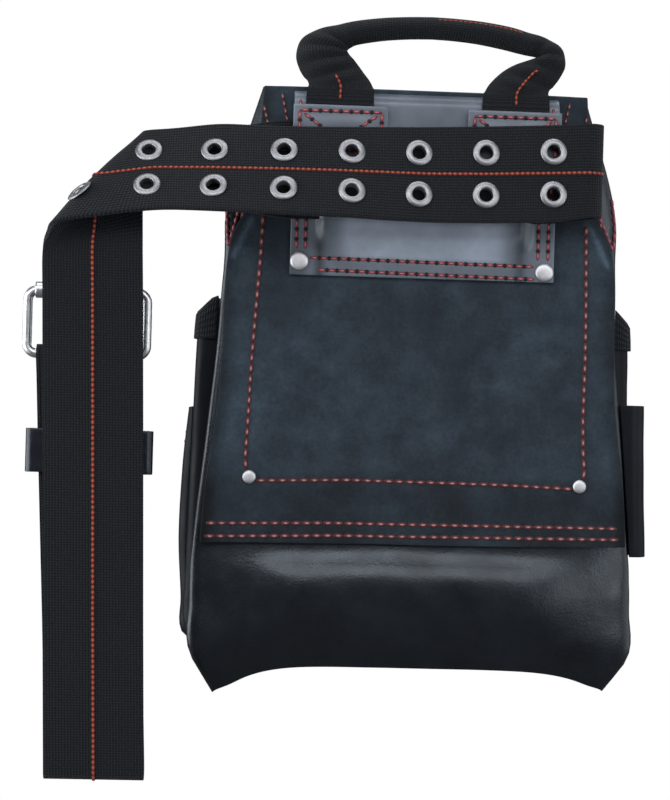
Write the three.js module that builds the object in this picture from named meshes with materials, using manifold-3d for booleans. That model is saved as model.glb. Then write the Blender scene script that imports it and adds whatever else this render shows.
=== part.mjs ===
import * as THREE from 'three';
import { mergeVertices } from 'three/addons/utils/BufferGeometryUtils.js';
import Module from 'manifold-3d';

const wasm = await Module();
wasm.setup();

// A leather nail bag with its webbing belt, seen from the side that rests on the wearer.
// Millimetres, Z up. The origin is the underside of the carry handle's crown, where the bag hangs.
// X runs along the belt, and Y runs from the wearer's side to the front pocket.

// Spacing and sheet thickness.
const seatGap = 0.3;
const leather = 2.2;
const panelLeather = 2.2;
const coverLeather = 2;
const webbing = 2.6;
const handleWebbing = 2.4;

// Main levels of the bag.
const bagTop = -26.4;
const panelFace = -0.3;
const pouchBack = panelFace + panelLeather + seatGap;

// Points used round one pouch outline.
const outlineSteps = 36;
const cornerSharpness = 6;
const floorShare = 0.98;

// Main pouch, one row per level below the bag's top edge.
// half is half the width, front is the depth of the front wall, corner is how far the corners hang,
// and swell is how far the back wall swells out towards the wearer below the panel's hem.
const mainRows = [
  { below: 0, half: 84, front: 40, corner: 0, swell: 0 },
  { below: 16, half: 89, front: 43, corner: 0, swell: 0 },
  { below: 42, half: 97, front: 46, corner: 0, swell: 0 },
  { below: 65, half: 101.5, front: 48, corner: 0, swell: 0 },
  { below: 86, half: 101.5, front: 50, corner: 0, swell: 0 },
  { below: 131, half: 103, front: 52, corner: 0, swell: 0 },
  { below: 172, half: 106.8, front: 53, corner: 0, swell: 0 },
  { below: 235.4, half: 112.6, front: 54, corner: 0, swell: 0 },
  { below: 250, half: 113.8, front: 55, corner: 0, swell: 4.2 },
  { below: 266, half: 114, front: 55, corner: 0.5, swell: 4.8 },
  { below: 287, half: 113.6, front: 55, corner: 4, swell: 2.2 },
  { below: 298, half: 101.5, front: 52, corner: 14.5, swell: -2 },
];

// Middle pocket on the front of the main pouch.
const middleBack = 26;
const middleRows = [
  { below: 111.5, half: 114, front: 75, corner: 0 },
  { below: 136, half: 115, front: 78, corner: 0 },
  { below: 180, half: 116, front: 80, corner: 0 },
  { below: 250, half: 117.4, front: 81, corner: 0 },
  { below: 282, half: 117, front: 80, corner: 2 },
  { below: 295, half: 106, front: 75, corner: 2 },
];

// Lower front pocket on the front of the middle pocket.
const frontBack = 46;
const frontRows = [
  { below: 174, half: 118.5, front: 96, corner: 0 },
  { below: 200, half: 121, front: 101, corner: 0 },
  { below: 236, half: 122, front: 104, corner: 0 },
  { below: 268, half: 120, front: 103.5, corner: 1 },
  { below: 284, half: 119.5, front: 102, corner: 2 },
  { below: 292, half: 111, front: 96, corner: 2 },
];

// Textile tape folded over the middle pocket's mouth.
const bindingTape = 1.4;
const bindingTop = 109.7;
const bindingBottom = 130.2;

// Suede back panel, half its width at each level.
const panelRows = [
  { below: 0.6, half: 83.5 },
  { below: 40, half: 86.5 },
  { below: 66, half: 92 },
  { below: 74, half: 96.5 },
  { below: 85, half: 99.2 },
  { below: 100, half: 100.6 },
  { below: 135, half: 101.4 },
  { below: 160, half: 102.4 },
  { below: 176, half: 104.2 },
  { below: 198, half: 107.2 },
  { below: 216, half: 108.8 },
  { below: 235, half: 109.8 },
];

// Leather cover of the belt tunnel. out is how far its outer face stands off the panel.
const coverHalf = 68;
const coverRows = [
  { below: 3, out: 2.3 },
  { below: 4.6, out: 5.2 },
  { below: 8, out: 7 },
  { below: 70, out: 7 },
  { below: 77, out: 5.2 },
  { below: 83, out: 2.3 },
  { below: 97, out: 2.3 },
];

// Carry handle. Each row holds the inner and outer edge seen from the back,
// half the angle that the webbing curls through, and how deep the curl is.
const handleFace = -8.8;
const handleSteps = 8;
const handleRows = [
  { innerX: 25, innerZ: -71, outerX: 65, outerZ: -71, curl: 8, depth: 0.05 },
  { innerX: 25, innerZ: -34, outerX: 65, outerZ: -34, curl: 8, depth: 0.05 },
  { innerX: 26, innerZ: -28, outerX: 64, outerZ: -28, curl: 30, depth: 1 },
  { innerX: 30.5, innerZ: -22, outerX: 65, outerZ: -23.5, curl: 80, depth: 5 },
  { innerX: 36, innerZ: -16, outerX: 68, outerZ: -17.5, curl: 100, depth: 8.5 },
  { innerX: 41, innerZ: -11.5, outerX: 69.5, outerZ: -11, curl: 120, depth: 11 },
  { innerX: 43.2, innerZ: -9, outerX: 67.5, outerZ: -3.5, curl: 138, depth: 13.5 },
  { innerX: 43, innerZ: -7.4, outerX: 60, outerZ: 1.8, curl: 150, depth: 15.5 },
  { innerX: 41.4, innerZ: -6, outerX: 49.5, outerZ: 5, curl: 160, depth: 17 },
  { innerX: 37.5, innerZ: -4.2, outerX: 39.5, outerZ: 7.6, curl: 165, depth: 17.6 },
  { innerX: 25, innerZ: -1.8, outerX: 25.8, outerZ: 9.6, curl: 165, depth: 17.6 },
  { innerX: 12, innerZ: -0.5, outerX: 12.2, outerZ: 10.6, curl: 165, depth: 17.6 },
];
const crownRow = { innerX: 0, innerZ: 0, outerX: 0, outerZ: 11, curl: 165, depth: 17.6 };

// Leather patches sewn over the handle's ends.
const patchCentre = 44.5;
const patchHalf = 24;
const patchTop = bagTop - 8;
const patchHeight = 40;
const patchLeather = 2;
const patchFace = handleFace - handleWebbing / 2 - seatGap;

// Leather tool loop on the right side.
const loopOut = 123;
const loopBack = 7;
const loopFront = 24;
const loopCorner = 4;
const loopTop = bagTop - 159;
const loopHeight = 79;

// Belt. width is the webbing's, and the eyelet rows lie either side of its middle.
const beltWidth = 50;
const tailDepth = -3.7;
const foldEnd = 82.5;
const foldSteps = 6;

// Hidden tail that runs behind the cover. tilt leans the top edge away from the viewer.
const tailRows = [
  { x: -142.6, y: -12, z: -73.1, tilt: 36 },
  { x: -106, y: -15, z: -72.3, tilt: 33 },
  { x: -92, y: -14, z: -72, tilt: 28 },
  { x: -78, y: -7.5, z: -70.6, tilt: 10 },
  { x: -69, y: tailDepth, z: -70, tilt: 0 },
  { x: 0, y: tailDepth, z: -69.4, tilt: 0 },
  { x: foldEnd, y: tailDepth, z: -68, tilt: 0 },
];

// Front stretch, from the fold on the right to the crease on the left.
const stretchRows = [
  { x: foldEnd, y: -17.5, z: -68, tilt: 0 },
  { x: 64.7, y: -18.3, z: -69.2, tilt: 7 },
  { x: 30, y: -19.2, z: -71, tilt: 9 },
  { x: 0, y: -20.8, z: -72.2, tilt: 13 },
  { x: -20, y: -22.8, z: -72.5, tilt: 17 },
  { x: -45, y: -25, z: -72.7, tilt: 22 },
  { x: -72, y: -26, z: -73, tilt: 24.5 },
  { x: -107, y: -23.6, z: -73.4, tilt: 30 },
  { x: -127, y: -21, z: -73.8, tilt: 33 },
  { x: -138, y: -20, z: -74, tilt: 33 },
];

// Crease where the belt turns down, from its upper end to its lower end.
const creaseUpper = new THREE.Vector3(-144.6, -6.6, -54.2);
const creaseLower = new THREE.Vector3(-186.8, -36.4, -103);
const creaseRadius = 2.6;

// Hanging strap, then the layer that returns up behind it to the buckle.
const strapRows = [
  { x: -167.2, y: -20, z: -113 },
  { x: -166.5, y: -19, z: -134 },
  { x: -164.3, y: -20, z: -205 },
  { x: -161.6, y: -20, z: -300 },
  { x: -159.2, y: -20, z: -376 },
];
const returnRows = [
  { x: -159.2, y: -12, z: -376 },
  { x: -162.6, y: -12, z: -300 },
  { x: -167, y: -12, z: -216 },
  { x: -168.8, y: -12, z: -179 },
  { x: -169.5, y: -12, z: -167.6 },
];
const flapRows = [
  { x: -169.5, y: -3.8, z: -167.6 },
  { x: -169.1, y: -5.4, z: -175 },
  { x: -168.4, y: -8.6, z: -186 },
  { x: -167.4, y: -8.8, z: -200 },
];

// Eyelets on the front stretch.
const eyeletPlaces = [63.6, 29.2, -5, -39, -72.9, -107.6, -140.6];
const eyeletRow = 11;
const eyeletSides = 12;
const eyeletHole = 3.3;
const eyeletWaist = 4.3;
const eyeletFlange = 7.1;
const eyeletBackFlange = 6.5;
const eyeletLip = 1;
const eyeletSeat = 0.4;
const eyeletClear = 4.65;
const foldEyelet = { along: 0.62, turn: 40, lift: 0.35 };

// Buckle of round steel wire.
const buckleX = -169.5;
const buckleDepth = -7.9;
const baseBarZ = -167.6;
const rollerZ = -135.5;
const wire = 2.5;
const buckleHalf = 30;
const buckleCorner = 5;
const wireSides = 10;
const rollerRadius = 4.2;
const rollerHalf = 26.4;
const turnGap = 0.4;
const prongApart = 11;
const prongRadius = 2;
const prongWidth = 4.4;
const prongLength = 37;
const slotHalf = 4;
const slotReach = 9;

// Keeper loop round the return layer.
const keeperX = -166.4;
const keeperMiddle = -12;
const keeperTop = -205.2;
const keeperHeight = 22;
const keeperHalf = 32;
const keeperInnerHalf = 30;
const keeperInnerDepth = 1.75;
const keeperLeather = 2;

// Rivets, with the level below the bag's top edge and how far the leather stands off the panel.
const rivetSides = 14;
const rivetRows = [
  { name: 'rivet_cover_left', x: -63.2, below: 90, out: 2.3, radius: 4.7 },
  { name: 'rivet_cover_right', x: 63, below: 92, out: 2.3, radius: 4.7 },
  { name: 'rivet_panel_left', x: -85.6, below: 201, out: 0, radius: 3.5 },
  { name: 'rivet_panel_right', x: 84.8, below: 201.6, out: 0, radius: 3.5 },
];
const rivetHeight = 1.5;

// Colours from the photograph.
const suedeLook = { color: '#2b333a', roughness: 0.85, metalness: 0 };
const glossLook = { color: '#20242a', roughness: 0.3, metalness: 0 };
const coverLook = { color: '#3a3e45', roughness: 0.38, metalness: 0 };
const webbingLook = { color: '#1f2226', roughness: 0.9, metalness: 0 };
const steelLook = { color: '#b8bcc4', roughness: 0.25, metalness: 1 };

const bag = new THREE.Group();
bag.name = 'nail_bag';

// Adds one named piece.
function addPiece(name, geometry, look) {
  const piece = new THREE.Mesh(geometry, new THREE.MeshStandardMaterial(look));
  piece.name = name;
  bag.add(piece);
}

// Turns the faces outward when the enclosed volume comes out negative.
function faceOutward(geometry) {
  const place = geometry.getAttribute('position');
  const order = geometry.index.array;
  const a = new THREE.Vector3();
  const b = new THREE.Vector3();
  const c = new THREE.Vector3();
  let volume = 0;
  for (let i = 0; i < order.length; i += 3) {
    a.fromBufferAttribute(place, order[i]);
    b.fromBufferAttribute(place, order[i + 1]);
    c.fromBufferAttribute(place, order[i + 2]);
    volume += a.dot(b.cross(c));
  }
  if (volume < 0) {
    for (let i = 0; i < order.length; i += 3) {
      const kept = order[i];
      order[i] = order[i + 1];
      order[i + 1] = kept;
    }
  }
  return geometry;
}

// Joins a row of equal rings into one closed solid.
// A loop meets its own start, and otherwise each listed ring gets a flat end.
function joinRings(rings, isLoop, endRings = [0, rings.length - 1]) {
  const count = rings[0].length;
  const places = [];
  const order = [];
  rings.flat().forEach((point) => places.push(point.x, point.y, point.z));
  const spans = isLoop ? rings.length : rings.length - 1;
  for (let r = 0; r < spans; r++) {
    const next = (r + 1) % rings.length;
    for (let i = 0; i < count; i++) {
      const j = (i + 1) % count;
      order.push(r * count + i, r * count + j, next * count + j);
      order.push(r * count + i, next * count + j, next * count + i);
    }
  }
  if (!isLoop) {
    endRings.forEach((r) => {
      const middle = new THREE.Vector3();
      rings[r].forEach((point) => middle.add(point));
      middle.divideScalar(count);
      const hub = places.length / 3;
      places.push(middle.x, middle.y, middle.z);
      for (let i = 0; i < count; i++) {
        const here = r * count + i;
        const there = r * count + ((i + 1) % count);
        if (r === 0) {
          order.push(hub, there, here);
        } else {
          order.push(hub, here, there);
        }
      }
    });
  }
  const geometry = new THREE.BufferGeometry();
  geometry.setAttribute('position', new THREE.BufferAttribute(new Float32Array(places), 3));
  geometry.setIndex(new THREE.BufferAttribute(new Uint32Array(order), 1));
  return faceOutward(geometry);
}

// Makes a solid for cutting and joining.
function toSolid(geometry) {
  const bare = geometry.clone();
  bare.deleteAttribute('normal');
  bare.deleteAttribute('uv');
  const joined = mergeVertices(bare, 1e-4);
  const order = joined.index.array;
  const corners = [];
  for (let i = 0; i < order.length; i += 3) {
    const [a, b, c] = [order[i], order[i + 1], order[i + 2]];
    if (a !== b && b !== c && c !== a) {
      corners.push(a, b, c);
    }
  }
  return new wasm.Manifold(
    new wasm.Mesh({
      numProp: 3,
      vertProperties: new Float32Array(joined.getAttribute('position').array),
      triVerts: new Uint32Array(corners),
    }),
  );
}

// Makes a geometry from a cut or joined solid.
function toGeometry(solid) {
  const mesh = solid.getMesh();
  const geometry = new THREE.BufferGeometry();
  geometry.setAttribute('position', new THREE.BufferAttribute(new Float32Array(mesh.vertProperties), 3));
  geometry.setIndex(new THREE.BufferAttribute(new Uint32Array(mesh.triVerts), 1));
  return geometry;
}

// A power that keeps the sign, for rounded-square outlines.
function signedPower(value, power) {
  return Math.sign(value) * Math.abs(value) ** power;
}

// One level of a table, found between its rows.
function rowAt(rows, below) {
  const last = rows.length - 1;
  let i = 0;
  while (i < last - 1 && rows[i + 1].below < below) {
    i++;
  }
  const share = (below - rows[i].below) / (rows[i + 1].below - rows[i].below);
  const blended = {};
  Object.keys(rows[i]).forEach((key) => {
    blended[key] = THREE.MathUtils.lerp(rows[i][key], rows[i + 1][key], share);
  });
  blended.below = below;
  return blended;
}

// Rounded-square outline of a pouch at one level. grow moves the wall outward, or inward if negative.
function pouchRing(row, shape, grow, lift) {
  const half = row.half + grow;
  const back = shape.back - (row.swell ?? 0) - grow;
  const front = row.front + grow;
  const middle = shape.back + shape.shoulder;
  const ring = [];
  for (let i = 0; i < outlineSteps; i++) {
    const angle = (i / outlineSteps) * 2 * Math.PI + Math.PI / outlineSteps;
    const reach = Math.sin(angle) < 0 ? middle - back : front - middle;
    const power = 2 / (Math.sin(angle) < 0 ? shape.backPower : shape.frontPower);
    const x = half * signedPower(Math.cos(angle), power);
    const y = middle + reach * signedPower(Math.sin(angle), power);
    const hang = row.corner * Math.abs(x / half) ** cornerSharpness;
    ring.push(new THREE.Vector3(x, y, bagTop - row.below - hang + lift));
  }
  return ring;
}

// Line along the middle of a pouch's floor, as a ring with no depth.
function floorLine(row, shape, grow, lift) {
  const level = { ...shape, backPower: shape.frontPower };
  const ring = pouchRing(row, level, grow, lift);
  ring.forEach((point) => {
    point.y = (shape.back + row.front) / 2;
    point.x *= floorShare;
  });
  return ring;
}

// Solid body of a pouch, taken through all its levels and closed along the middle of its floor.
function pouchBody(rows, shape, grow, lift, headroom) {
  const rings = rows.map((row) => pouchRing(row, shape, grow, lift));
  rings.push(floorLine(rows[rows.length - 1], shape, grow, lift));
  if (headroom > 0) {
    rings[0].forEach((point) => {
      point.z = bagTop - rows[0].below + headroom;
    });
  }
  return toSolid(joinRings(rings, false, [0]));
}

const mainShape = { back: pouchBack, shoulder: 10, backPower: 5, frontPower: 4.5 };
const middleShape = { back: middleBack, shoulder: 9, backPower: 4, frontPower: 3.4 };
const frontShape = { back: frontBack, shoulder: 9, backPower: 4, frontPower: 3.4 };
const mouthHeadroom = 4;

// Main pouch, a cup that is open at the top.
const mainOuter = pouchBody(mainRows, mainShape, 0, 0, 0);
const mainInner = pouchBody(mainRows, mainShape, -leather, leather, mouthHeadroom);
const mainSeat = pouchBody(mainRows, mainShape, seatGap, 0, mouthHeadroom);
addPiece('main_pouch', toGeometry(mainOuter.subtract(mainInner)), glossLook);

// Middle pocket, open at the top, with the main pouch for its back.
const middleOuter = pouchBody(middleRows, middleShape, 0, 0, 0);
const middleInner = pouchBody(middleRows, middleShape, -leather, leather, mouthHeadroom);
const middleSeat = pouchBody(middleRows, middleShape, seatGap, 0, mouthHeadroom);
addPiece('middle_pocket', toGeometry(middleOuter.subtract(middleInner).subtract(mainSeat)), glossLook);

// Front pocket, with the middle pocket for its back.
const frontOuter = pouchBody(frontRows, frontShape, 0, 0, 0);
const frontInner = pouchBody(frontRows, frontShape, -leather, leather, mouthHeadroom);
const frontShell = frontOuter.subtract(frontInner).subtract(middleSeat).subtract(mainSeat);
addPiece('front_pocket', toGeometry(frontShell), glossLook);

// Band of the middle pocket's outline between two levels.
function middleBand(top, bottom, grow) {
  const rows = [rowAt(middleRows, top), rowAt(middleRows, bottom)];
  return pouchBody(rows, middleShape, grow, 0, 0);
}

// Tape folded over the middle pocket's mouth.
const tapeReach = bindingTape + seatGap;
const tapeOuter = middleBand(bindingTop, bindingBottom, tapeReach);
const tapeInner = middleBand(bindingTop - 2, bindingBottom + 2, -leather - tapeReach);
const mouthEdge = middleRows[0].below - seatGap;
const tapeSlot = middleBand(mouthEdge, bindingBottom + 2, seatGap).subtract(
  middleBand(mouthEdge - 2, bindingBottom + 4, -leather - seatGap),
);
const tape = tapeOuter.subtract(tapeInner).subtract(tapeSlot).subtract(mainSeat);
addPiece('pocket_binding', toGeometry(tape), webbingLook);

// Flat sheet drawn in X and Z, with its outer face towards the wearer.
function backSheet(outline, outerFace, thickness) {
  const shape = new THREE.Shape(outline);
  const geometry = new THREE.ExtrudeGeometry(shape, { depth: thickness, bevelEnabled: false });
  geometry.rotateX(Math.PI / 2);
  geometry.translate(0, outerFace + thickness, 0);
  return geometry;
}

// Suede back panel.
const panelRight = panelRows.map((row) => new THREE.Vector2(row.half, bagTop - row.below));
const panelLeft = panelRows.map((row) => new THREE.Vector2(-row.half, bagTop - row.below)).reverse();
addPiece('back_panel', backSheet([...panelRight, ...panelLeft], panelFace, panelLeather), suedeLook);

// Tunnel cover, a sheet that stands off the panel at the belt and lies flat below it.
const coverOutside = coverRows.map((row) => new THREE.Vector2(panelFace - row.out, bagTop - row.below));
const coverInside = coverRows
  .map((row) => new THREE.Vector2(panelFace - row.out + coverLeather, bagTop - row.below))
  .reverse();
const coverSheet = new THREE.ExtrudeGeometry(new THREE.Shape([...coverOutside, ...coverInside]), {
  depth: 2 * coverHalf,
  bevelEnabled: false,
});
coverSheet.applyMatrix4(
  new THREE.Matrix4().makeBasis(
    new THREE.Vector3(0, 1, 0),
    new THREE.Vector3(0, 0, 1),
    new THREE.Vector3(1, 0, 0),
  ),
);
coverSheet.translate(-coverHalf, 0, 0);
addPiece('tunnel_cover', coverSheet, coverLook);

// One cross-section of the handle's curled webbing.
function handleRing(row) {
  const inner = new THREE.Vector2(row.innerX, row.innerZ);
  const outer = new THREE.Vector2(row.outerX, row.outerZ);
  const middle = inner.clone().add(outer).divideScalar(2);
  const across = outer.clone().sub(inner).normalize();
  const curl = THREE.MathUtils.degToRad(row.curl);
  const isClosing = row.curl > 90;
  const half = inner.distanceTo(outer) / 2 - (isClosing ? handleWebbing / 2 : 0);
  const fullWidth = isClosing ? 1 : Math.sin(curl);
  const fullDepth = 1 - Math.cos(curl);
  const outside = [];
  const inside = [];
  for (let i = 0; i <= handleSteps; i++) {
    const angle = curl * ((2 * i) / handleSteps - 1);
    const wide = (half * Math.sin(angle)) / fullWidth;
    const deep = (row.depth * (1 - Math.cos(angle))) / fullDepth;
    const slopeWide = (half * Math.cos(angle)) / fullWidth;
    const slopeDeep = (row.depth * Math.sin(angle)) / fullDepth;
    const away = new THREE.Vector2(slopeDeep, -slopeWide).normalize().multiplyScalar(handleWebbing / 2);
    [1, -1].forEach((side) => {
      const w = wide + side * away.x;
      const point = new THREE.Vector3(
        middle.x + across.x * w,
        handleFace + deep + side * away.y,
        middle.y + across.y * w,
      );
      (side > 0 ? outside : inside).push(point);
    });
  }
  return [...outside, ...inside.reverse()];
}

// The left half of the handle mirrors the right, ring by ring.
function mirroredRing(ring) {
  const flipped = ring.map((point) => new THREE.Vector3(-point.x, point.y, point.z));
  return flipped;
}

// Carry handle of webbing, flat at both ends and curled into a grip at the crown.
const handleRight = handleRows.map(handleRing);
const handleLeft = handleRight.map(mirroredRing).reverse();
addPiece('carry_handle', joinRings([...handleRight, handleRing(crownRow), ...handleLeft], false), webbingLook);

// Handle patches.
function patchOutline(centre) {
  const left = centre - patchHalf;
  const right = centre + patchHalf;
  const bottom = patchTop - patchHeight;
  return [
    new THREE.Vector2(left, bottom),
    new THREE.Vector2(right, bottom),
    new THREE.Vector2(right, patchTop),
    new THREE.Vector2(left, patchTop),
  ];
}
addPiece('handle_patch_left', backSheet(patchOutline(-patchCentre), patchFace - patchLeather, patchLeather), coverLook);
addPiece('handle_patch_right', backSheet(patchOutline(patchCentre), patchFace - patchLeather, patchLeather), coverLook);

// Tool loop, a sleeve bent out from the right side of the main pouch.
function loopPath(inset) {
  const path = new THREE.Path();
  const root = mainRows[0].half;
  const corner = loopCorner - inset;
  path.moveTo(root, loopBack + inset);
  path.lineTo(loopOut - loopCorner, loopBack + inset);
  path.absarc(loopOut - loopCorner, loopBack + loopCorner, corner, -Math.PI / 2, 0, false);
  path.absarc(loopOut - loopCorner, loopFront - loopCorner, corner, 0, Math.PI / 2, false);
  path.lineTo(root, loopFront - inset);
  return path.getPoints(4);
}
const loopSheet = new THREE.ExtrudeGeometry(
  new THREE.Shape([...loopPath(0), ...loopPath(coverLeather).reverse()]),
  { depth: loopHeight, bevelEnabled: false },
);
loopSheet.translate(0, 0, loopTop - loopHeight);
addPiece('tool_loop', toGeometry(toSolid(loopSheet).subtract(mainSeat).subtract(middleSeat)), glossLook);

// One section of the belt, as the ends of its upper and lower edges.
function tiltedSection(row) {
  const tilt = THREE.MathUtils.degToRad(row.tilt);
  const middle = new THREE.Vector3(row.x, row.y, row.z);
  const up = new THREE.Vector3(0, Math.sin(tilt), Math.cos(tilt)).multiplyScalar(beltWidth / 2);
  return { upper: middle.clone().add(up), lower: middle.clone().sub(up) };
}

// One section of the hanging strap. Its upper edge turns to the right at the crease.
function hangingSection(row) {
  const middle = new THREE.Vector3(row.x, row.y, row.z);
  const right = new THREE.Vector3(beltWidth / 2, 0, 0);
  return { upper: middle.clone().add(right), lower: middle.clone().sub(right) };
}

// Sections that turn half a circle from one side to the other, without the two ends.
function halfTurn(steps, sectionAt) {
  const sections = [];
  for (let i = 1; i < steps; i++) {
    sections.push(sectionAt((i / steps) * Math.PI));
  }
  return sections;
}

// Fold on the right, round an upright axis.
const foldMiddle = (tailDepth + stretchRows[0].y) / 2;
const foldRadius = (tailDepth - stretchRows[0].y) / 2;
const rightFold = halfTurn(foldSteps, (angle) =>
  tiltedSection({
    x: foldEnd + foldRadius * Math.sin(angle),
    y: foldMiddle + foldRadius * Math.cos(angle),
    z: stretchRows[0].z,
    tilt: 0,
  }),
);

// Crease, round its own slanting line.
const creaseLine = creaseUpper.clone().sub(creaseLower).normalize();
const creaseBehind = new THREE.Vector3(-1, 0, 0).cross(creaseLine).normalize();
const creaseOut = new THREE.Vector3().crossVectors(creaseLine, creaseBehind).normalize();
function creaseSection(angle) {
  const shift = new THREE.Vector3()
    .addScaledVector(creaseOut, creaseRadius * Math.sin(angle))
    .addScaledVector(creaseBehind, creaseRadius * (1 - Math.cos(angle)));
  return { upper: creaseUpper.clone().add(shift), lower: creaseLower.clone().add(shift) };
}
const crease = [creaseSection(0), ...halfTurn(foldSteps, creaseSection), creaseSection(Math.PI)];

// Fold at the bottom of the hanging strap.
const bottomRow = strapRows[strapRows.length - 1];
const bottomRadius = (returnRows[0].y - bottomRow.y) / 2;
const bottomFold = halfTurn(foldSteps, (angle) =>
  hangingSection({
    x: bottomRow.x,
    y: bottomRow.y + bottomRadius * (1 - Math.cos(angle)),
    z: bottomRow.z - bottomRadius * Math.sin(angle),
  }),
);

// Turn over the buckle's base bar.
const barRadius = (flapRows[0].y - returnRows[returnRows.length - 1].y) / 2;
const barTurn = halfTurn(foldSteps, (angle) =>
  hangingSection({
    x: buckleX,
    y: buckleDepth - barRadius * Math.cos(angle),
    z: baseBarZ + barRadius * Math.sin(angle),
  }),
);

const beltSections = [
  ...tailRows.map(tiltedSection),
  ...rightFold,
  ...stretchRows.map(tiltedSection),
  ...crease,
  ...strapRows.map(hangingSection),
  ...bottomFold,
  ...returnRows.map(hangingSection),
  ...barTurn,
  ...flapRows.map(hangingSection),
];

// Gives the belt its thickness, half on each side of the section line.
function sectionMiddle(section) {
  return section.upper.clone().add(section.lower).divideScalar(2);
}
const beltRings = beltSections.map((section, i) => {
  const before = sectionMiddle(beltSections[Math.max(i - 1, 0)]);
  const after = sectionMiddle(beltSections[Math.min(i + 1, beltSections.length - 1)]);
  const along = after.sub(before);
  const across = section.upper.clone().sub(section.lower);
  const out = new THREE.Vector3().crossVectors(along, across).normalize().multiplyScalar(webbing / 2);
  return [
    section.upper.clone().add(out),
    section.lower.clone().add(out),
    section.lower.clone().sub(out),
    section.upper.clone().sub(out),
  ];
});

// Place and outward direction of an eyelet on the front stretch.
function eyeletSeatAt(x, side) {
  let i = 0;
  while (i < stretchRows.length - 2 && stretchRows[i + 1].x > x) {
    i++;
  }
  const share = (x - stretchRows[i].x) / (stretchRows[i + 1].x - stretchRows[i].x);
  const row = {};
  Object.keys(stretchRows[i]).forEach((key) => {
    row[key] = THREE.MathUtils.lerp(stretchRows[i][key], stretchRows[i + 1][key], share);
  });
  const tilt = THREE.MathUtils.degToRad(row.tilt);
  const run = new THREE.Vector3(
    stretchRows[i + 1].x - stretchRows[i].x,
    stretchRows[i + 1].y - stretchRows[i].y,
    stretchRows[i + 1].z - stretchRows[i].z,
  );
  const up = new THREE.Vector3(0, Math.sin(tilt), Math.cos(tilt));
  const place = new THREE.Vector3(x, row.y, row.z).addScaledVector(up, side * eyeletRow);
  const out = new THREE.Vector3().crossVectors(run, up).normalize();
  if (out.y > 0) {
    out.negate();
  }
  return { place, out };
}

// Turns a piece made round the Y axis so that its +Y end points the given way.
function aimed(geometry, place, out) {
  const turn = new THREE.Quaternion().setFromUnitVectors(new THREE.Vector3(0, 1, 0), out);
  geometry.applyQuaternion(turn);
  geometry.translate(place.x, place.y, place.z);
  return geometry;
}

// Lathe from a closed outline of radius and height pairs.
function closedLathe(outline, sides) {
  const points = outline.map((pair) => new THREE.Vector2(pair.radius, pair.height));
  points.push(points[0].clone());
  const turned = new THREE.LatheGeometry(points, sides);
  turned.deleteAttribute('normal');
  turned.deleteAttribute('uv');
  return faceOutward(mergeVertices(turned, 1e-4));
}

// Two-sided eyelet, a spool with a hole through it.
function eyeletSpool() {
  const face = webbing / 2 + eyeletSeat;
  return closedLathe(
    [
      { radius: eyeletHole, height: face + eyeletLip },
      { radius: eyeletHole, height: -face - eyeletLip * 0.6 },
      { radius: eyeletBackFlange, height: -face - eyeletLip * 0.6 },
      { radius: eyeletBackFlange, height: -face },
      { radius: eyeletWaist, height: -face },
      { radius: eyeletWaist, height: face },
      { radius: eyeletFlange, height: face },
      { radius: eyeletFlange, height: face + eyeletLip },
    ],
    eyeletSides,
  );
}

// Eyelets in two rows, and the holes they leave in the belt.
let belt = toSolid(joinRings(beltRings, false));
eyeletPlaces.forEach((x, column) => {
  [
    { label: 'upper', side: 1 },
    { label: 'lower', side: -1 },
  ].forEach((row) => {
    const seat = eyeletSeatAt(x, row.side);
    const hole = new THREE.CylinderGeometry(eyeletClear, eyeletClear, 3 * webbing, eyeletSides);
    belt = belt.subtract(toSolid(aimed(hole, seat.place, seat.out)));
    addPiece(`eyelet_${row.label}_${column + 1}`, aimed(eyeletSpool(), seat.place, seat.out), steelLook);
  });
});

// Eyelet caught by the crease, seen edge-on.
const foldTurn = THREE.MathUtils.degToRad(foldEyelet.turn);
const foldOut = new THREE.Vector3()
  .addScaledVector(creaseOut, Math.sin(foldTurn))
  .addScaledVector(creaseBehind, -Math.cos(foldTurn));
const foldPlace = creaseUpper
  .clone()
  .lerp(creaseLower, foldEyelet.along)
  .addScaledVector(creaseBehind, creaseRadius)
  .addScaledVector(foldOut, creaseRadius + webbing / 2 + foldEyelet.lift);
const washer = closedLathe(
  [
    { radius: eyeletHole, height: eyeletLip },
    { radius: eyeletHole, height: 0 },
    { radius: eyeletFlange, height: 0 },
    { radius: eyeletFlange, height: eyeletLip },
  ],
  eyeletSides,
);
addPiece('eyelet_crease', aimed(washer, foldPlace, foldOut), steelLook);

// Slots that let the prongs turn on the base bar.
[-prongApart, prongApart].forEach((shift) => {
  const slot = new THREE.BoxGeometry(2 * slotHalf, 4 * slotReach, 2 * slotReach);
  slot.translate(buckleX + shift, buckleDepth + slotReach, baseBarZ);
  belt = belt.subtract(toSolid(slot));
});
addPiece('belt', toGeometry(belt), webbingLook);

// Buckle frame, one ring of round wire with bent corners.
const frameRings = [];
const cornerSteps = 4;
[
  { x: 1, z: 1, start: 0 },
  { x: -1, z: 1, start: 90 },
  { x: -1, z: -1, start: 180 },
  { x: 1, z: -1, start: 270 },
].forEach((bend) => {
  const centreX = buckleX + bend.x * (buckleHalf - buckleCorner);
  const centreZ = (rollerZ + baseBarZ) / 2 + bend.z * ((rollerZ - baseBarZ) / 2 - buckleCorner);
  for (let i = 0; i <= cornerSteps; i++) {
    const turn = THREE.MathUtils.degToRad(bend.start + (90 * i) / cornerSteps);
    const ring = [];
    for (let k = 0; k < wireSides; k++) {
      const round = (k / wireSides) * 2 * Math.PI;
      const reach = buckleCorner + wire * Math.cos(round);
      ring.push(
        new THREE.Vector3(
          centreX + reach * Math.cos(turn),
          buckleDepth + wire * Math.sin(round),
          centreZ + reach * Math.sin(turn),
        ),
      );
    }
    frameRings.push(ring);
  }
});
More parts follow.
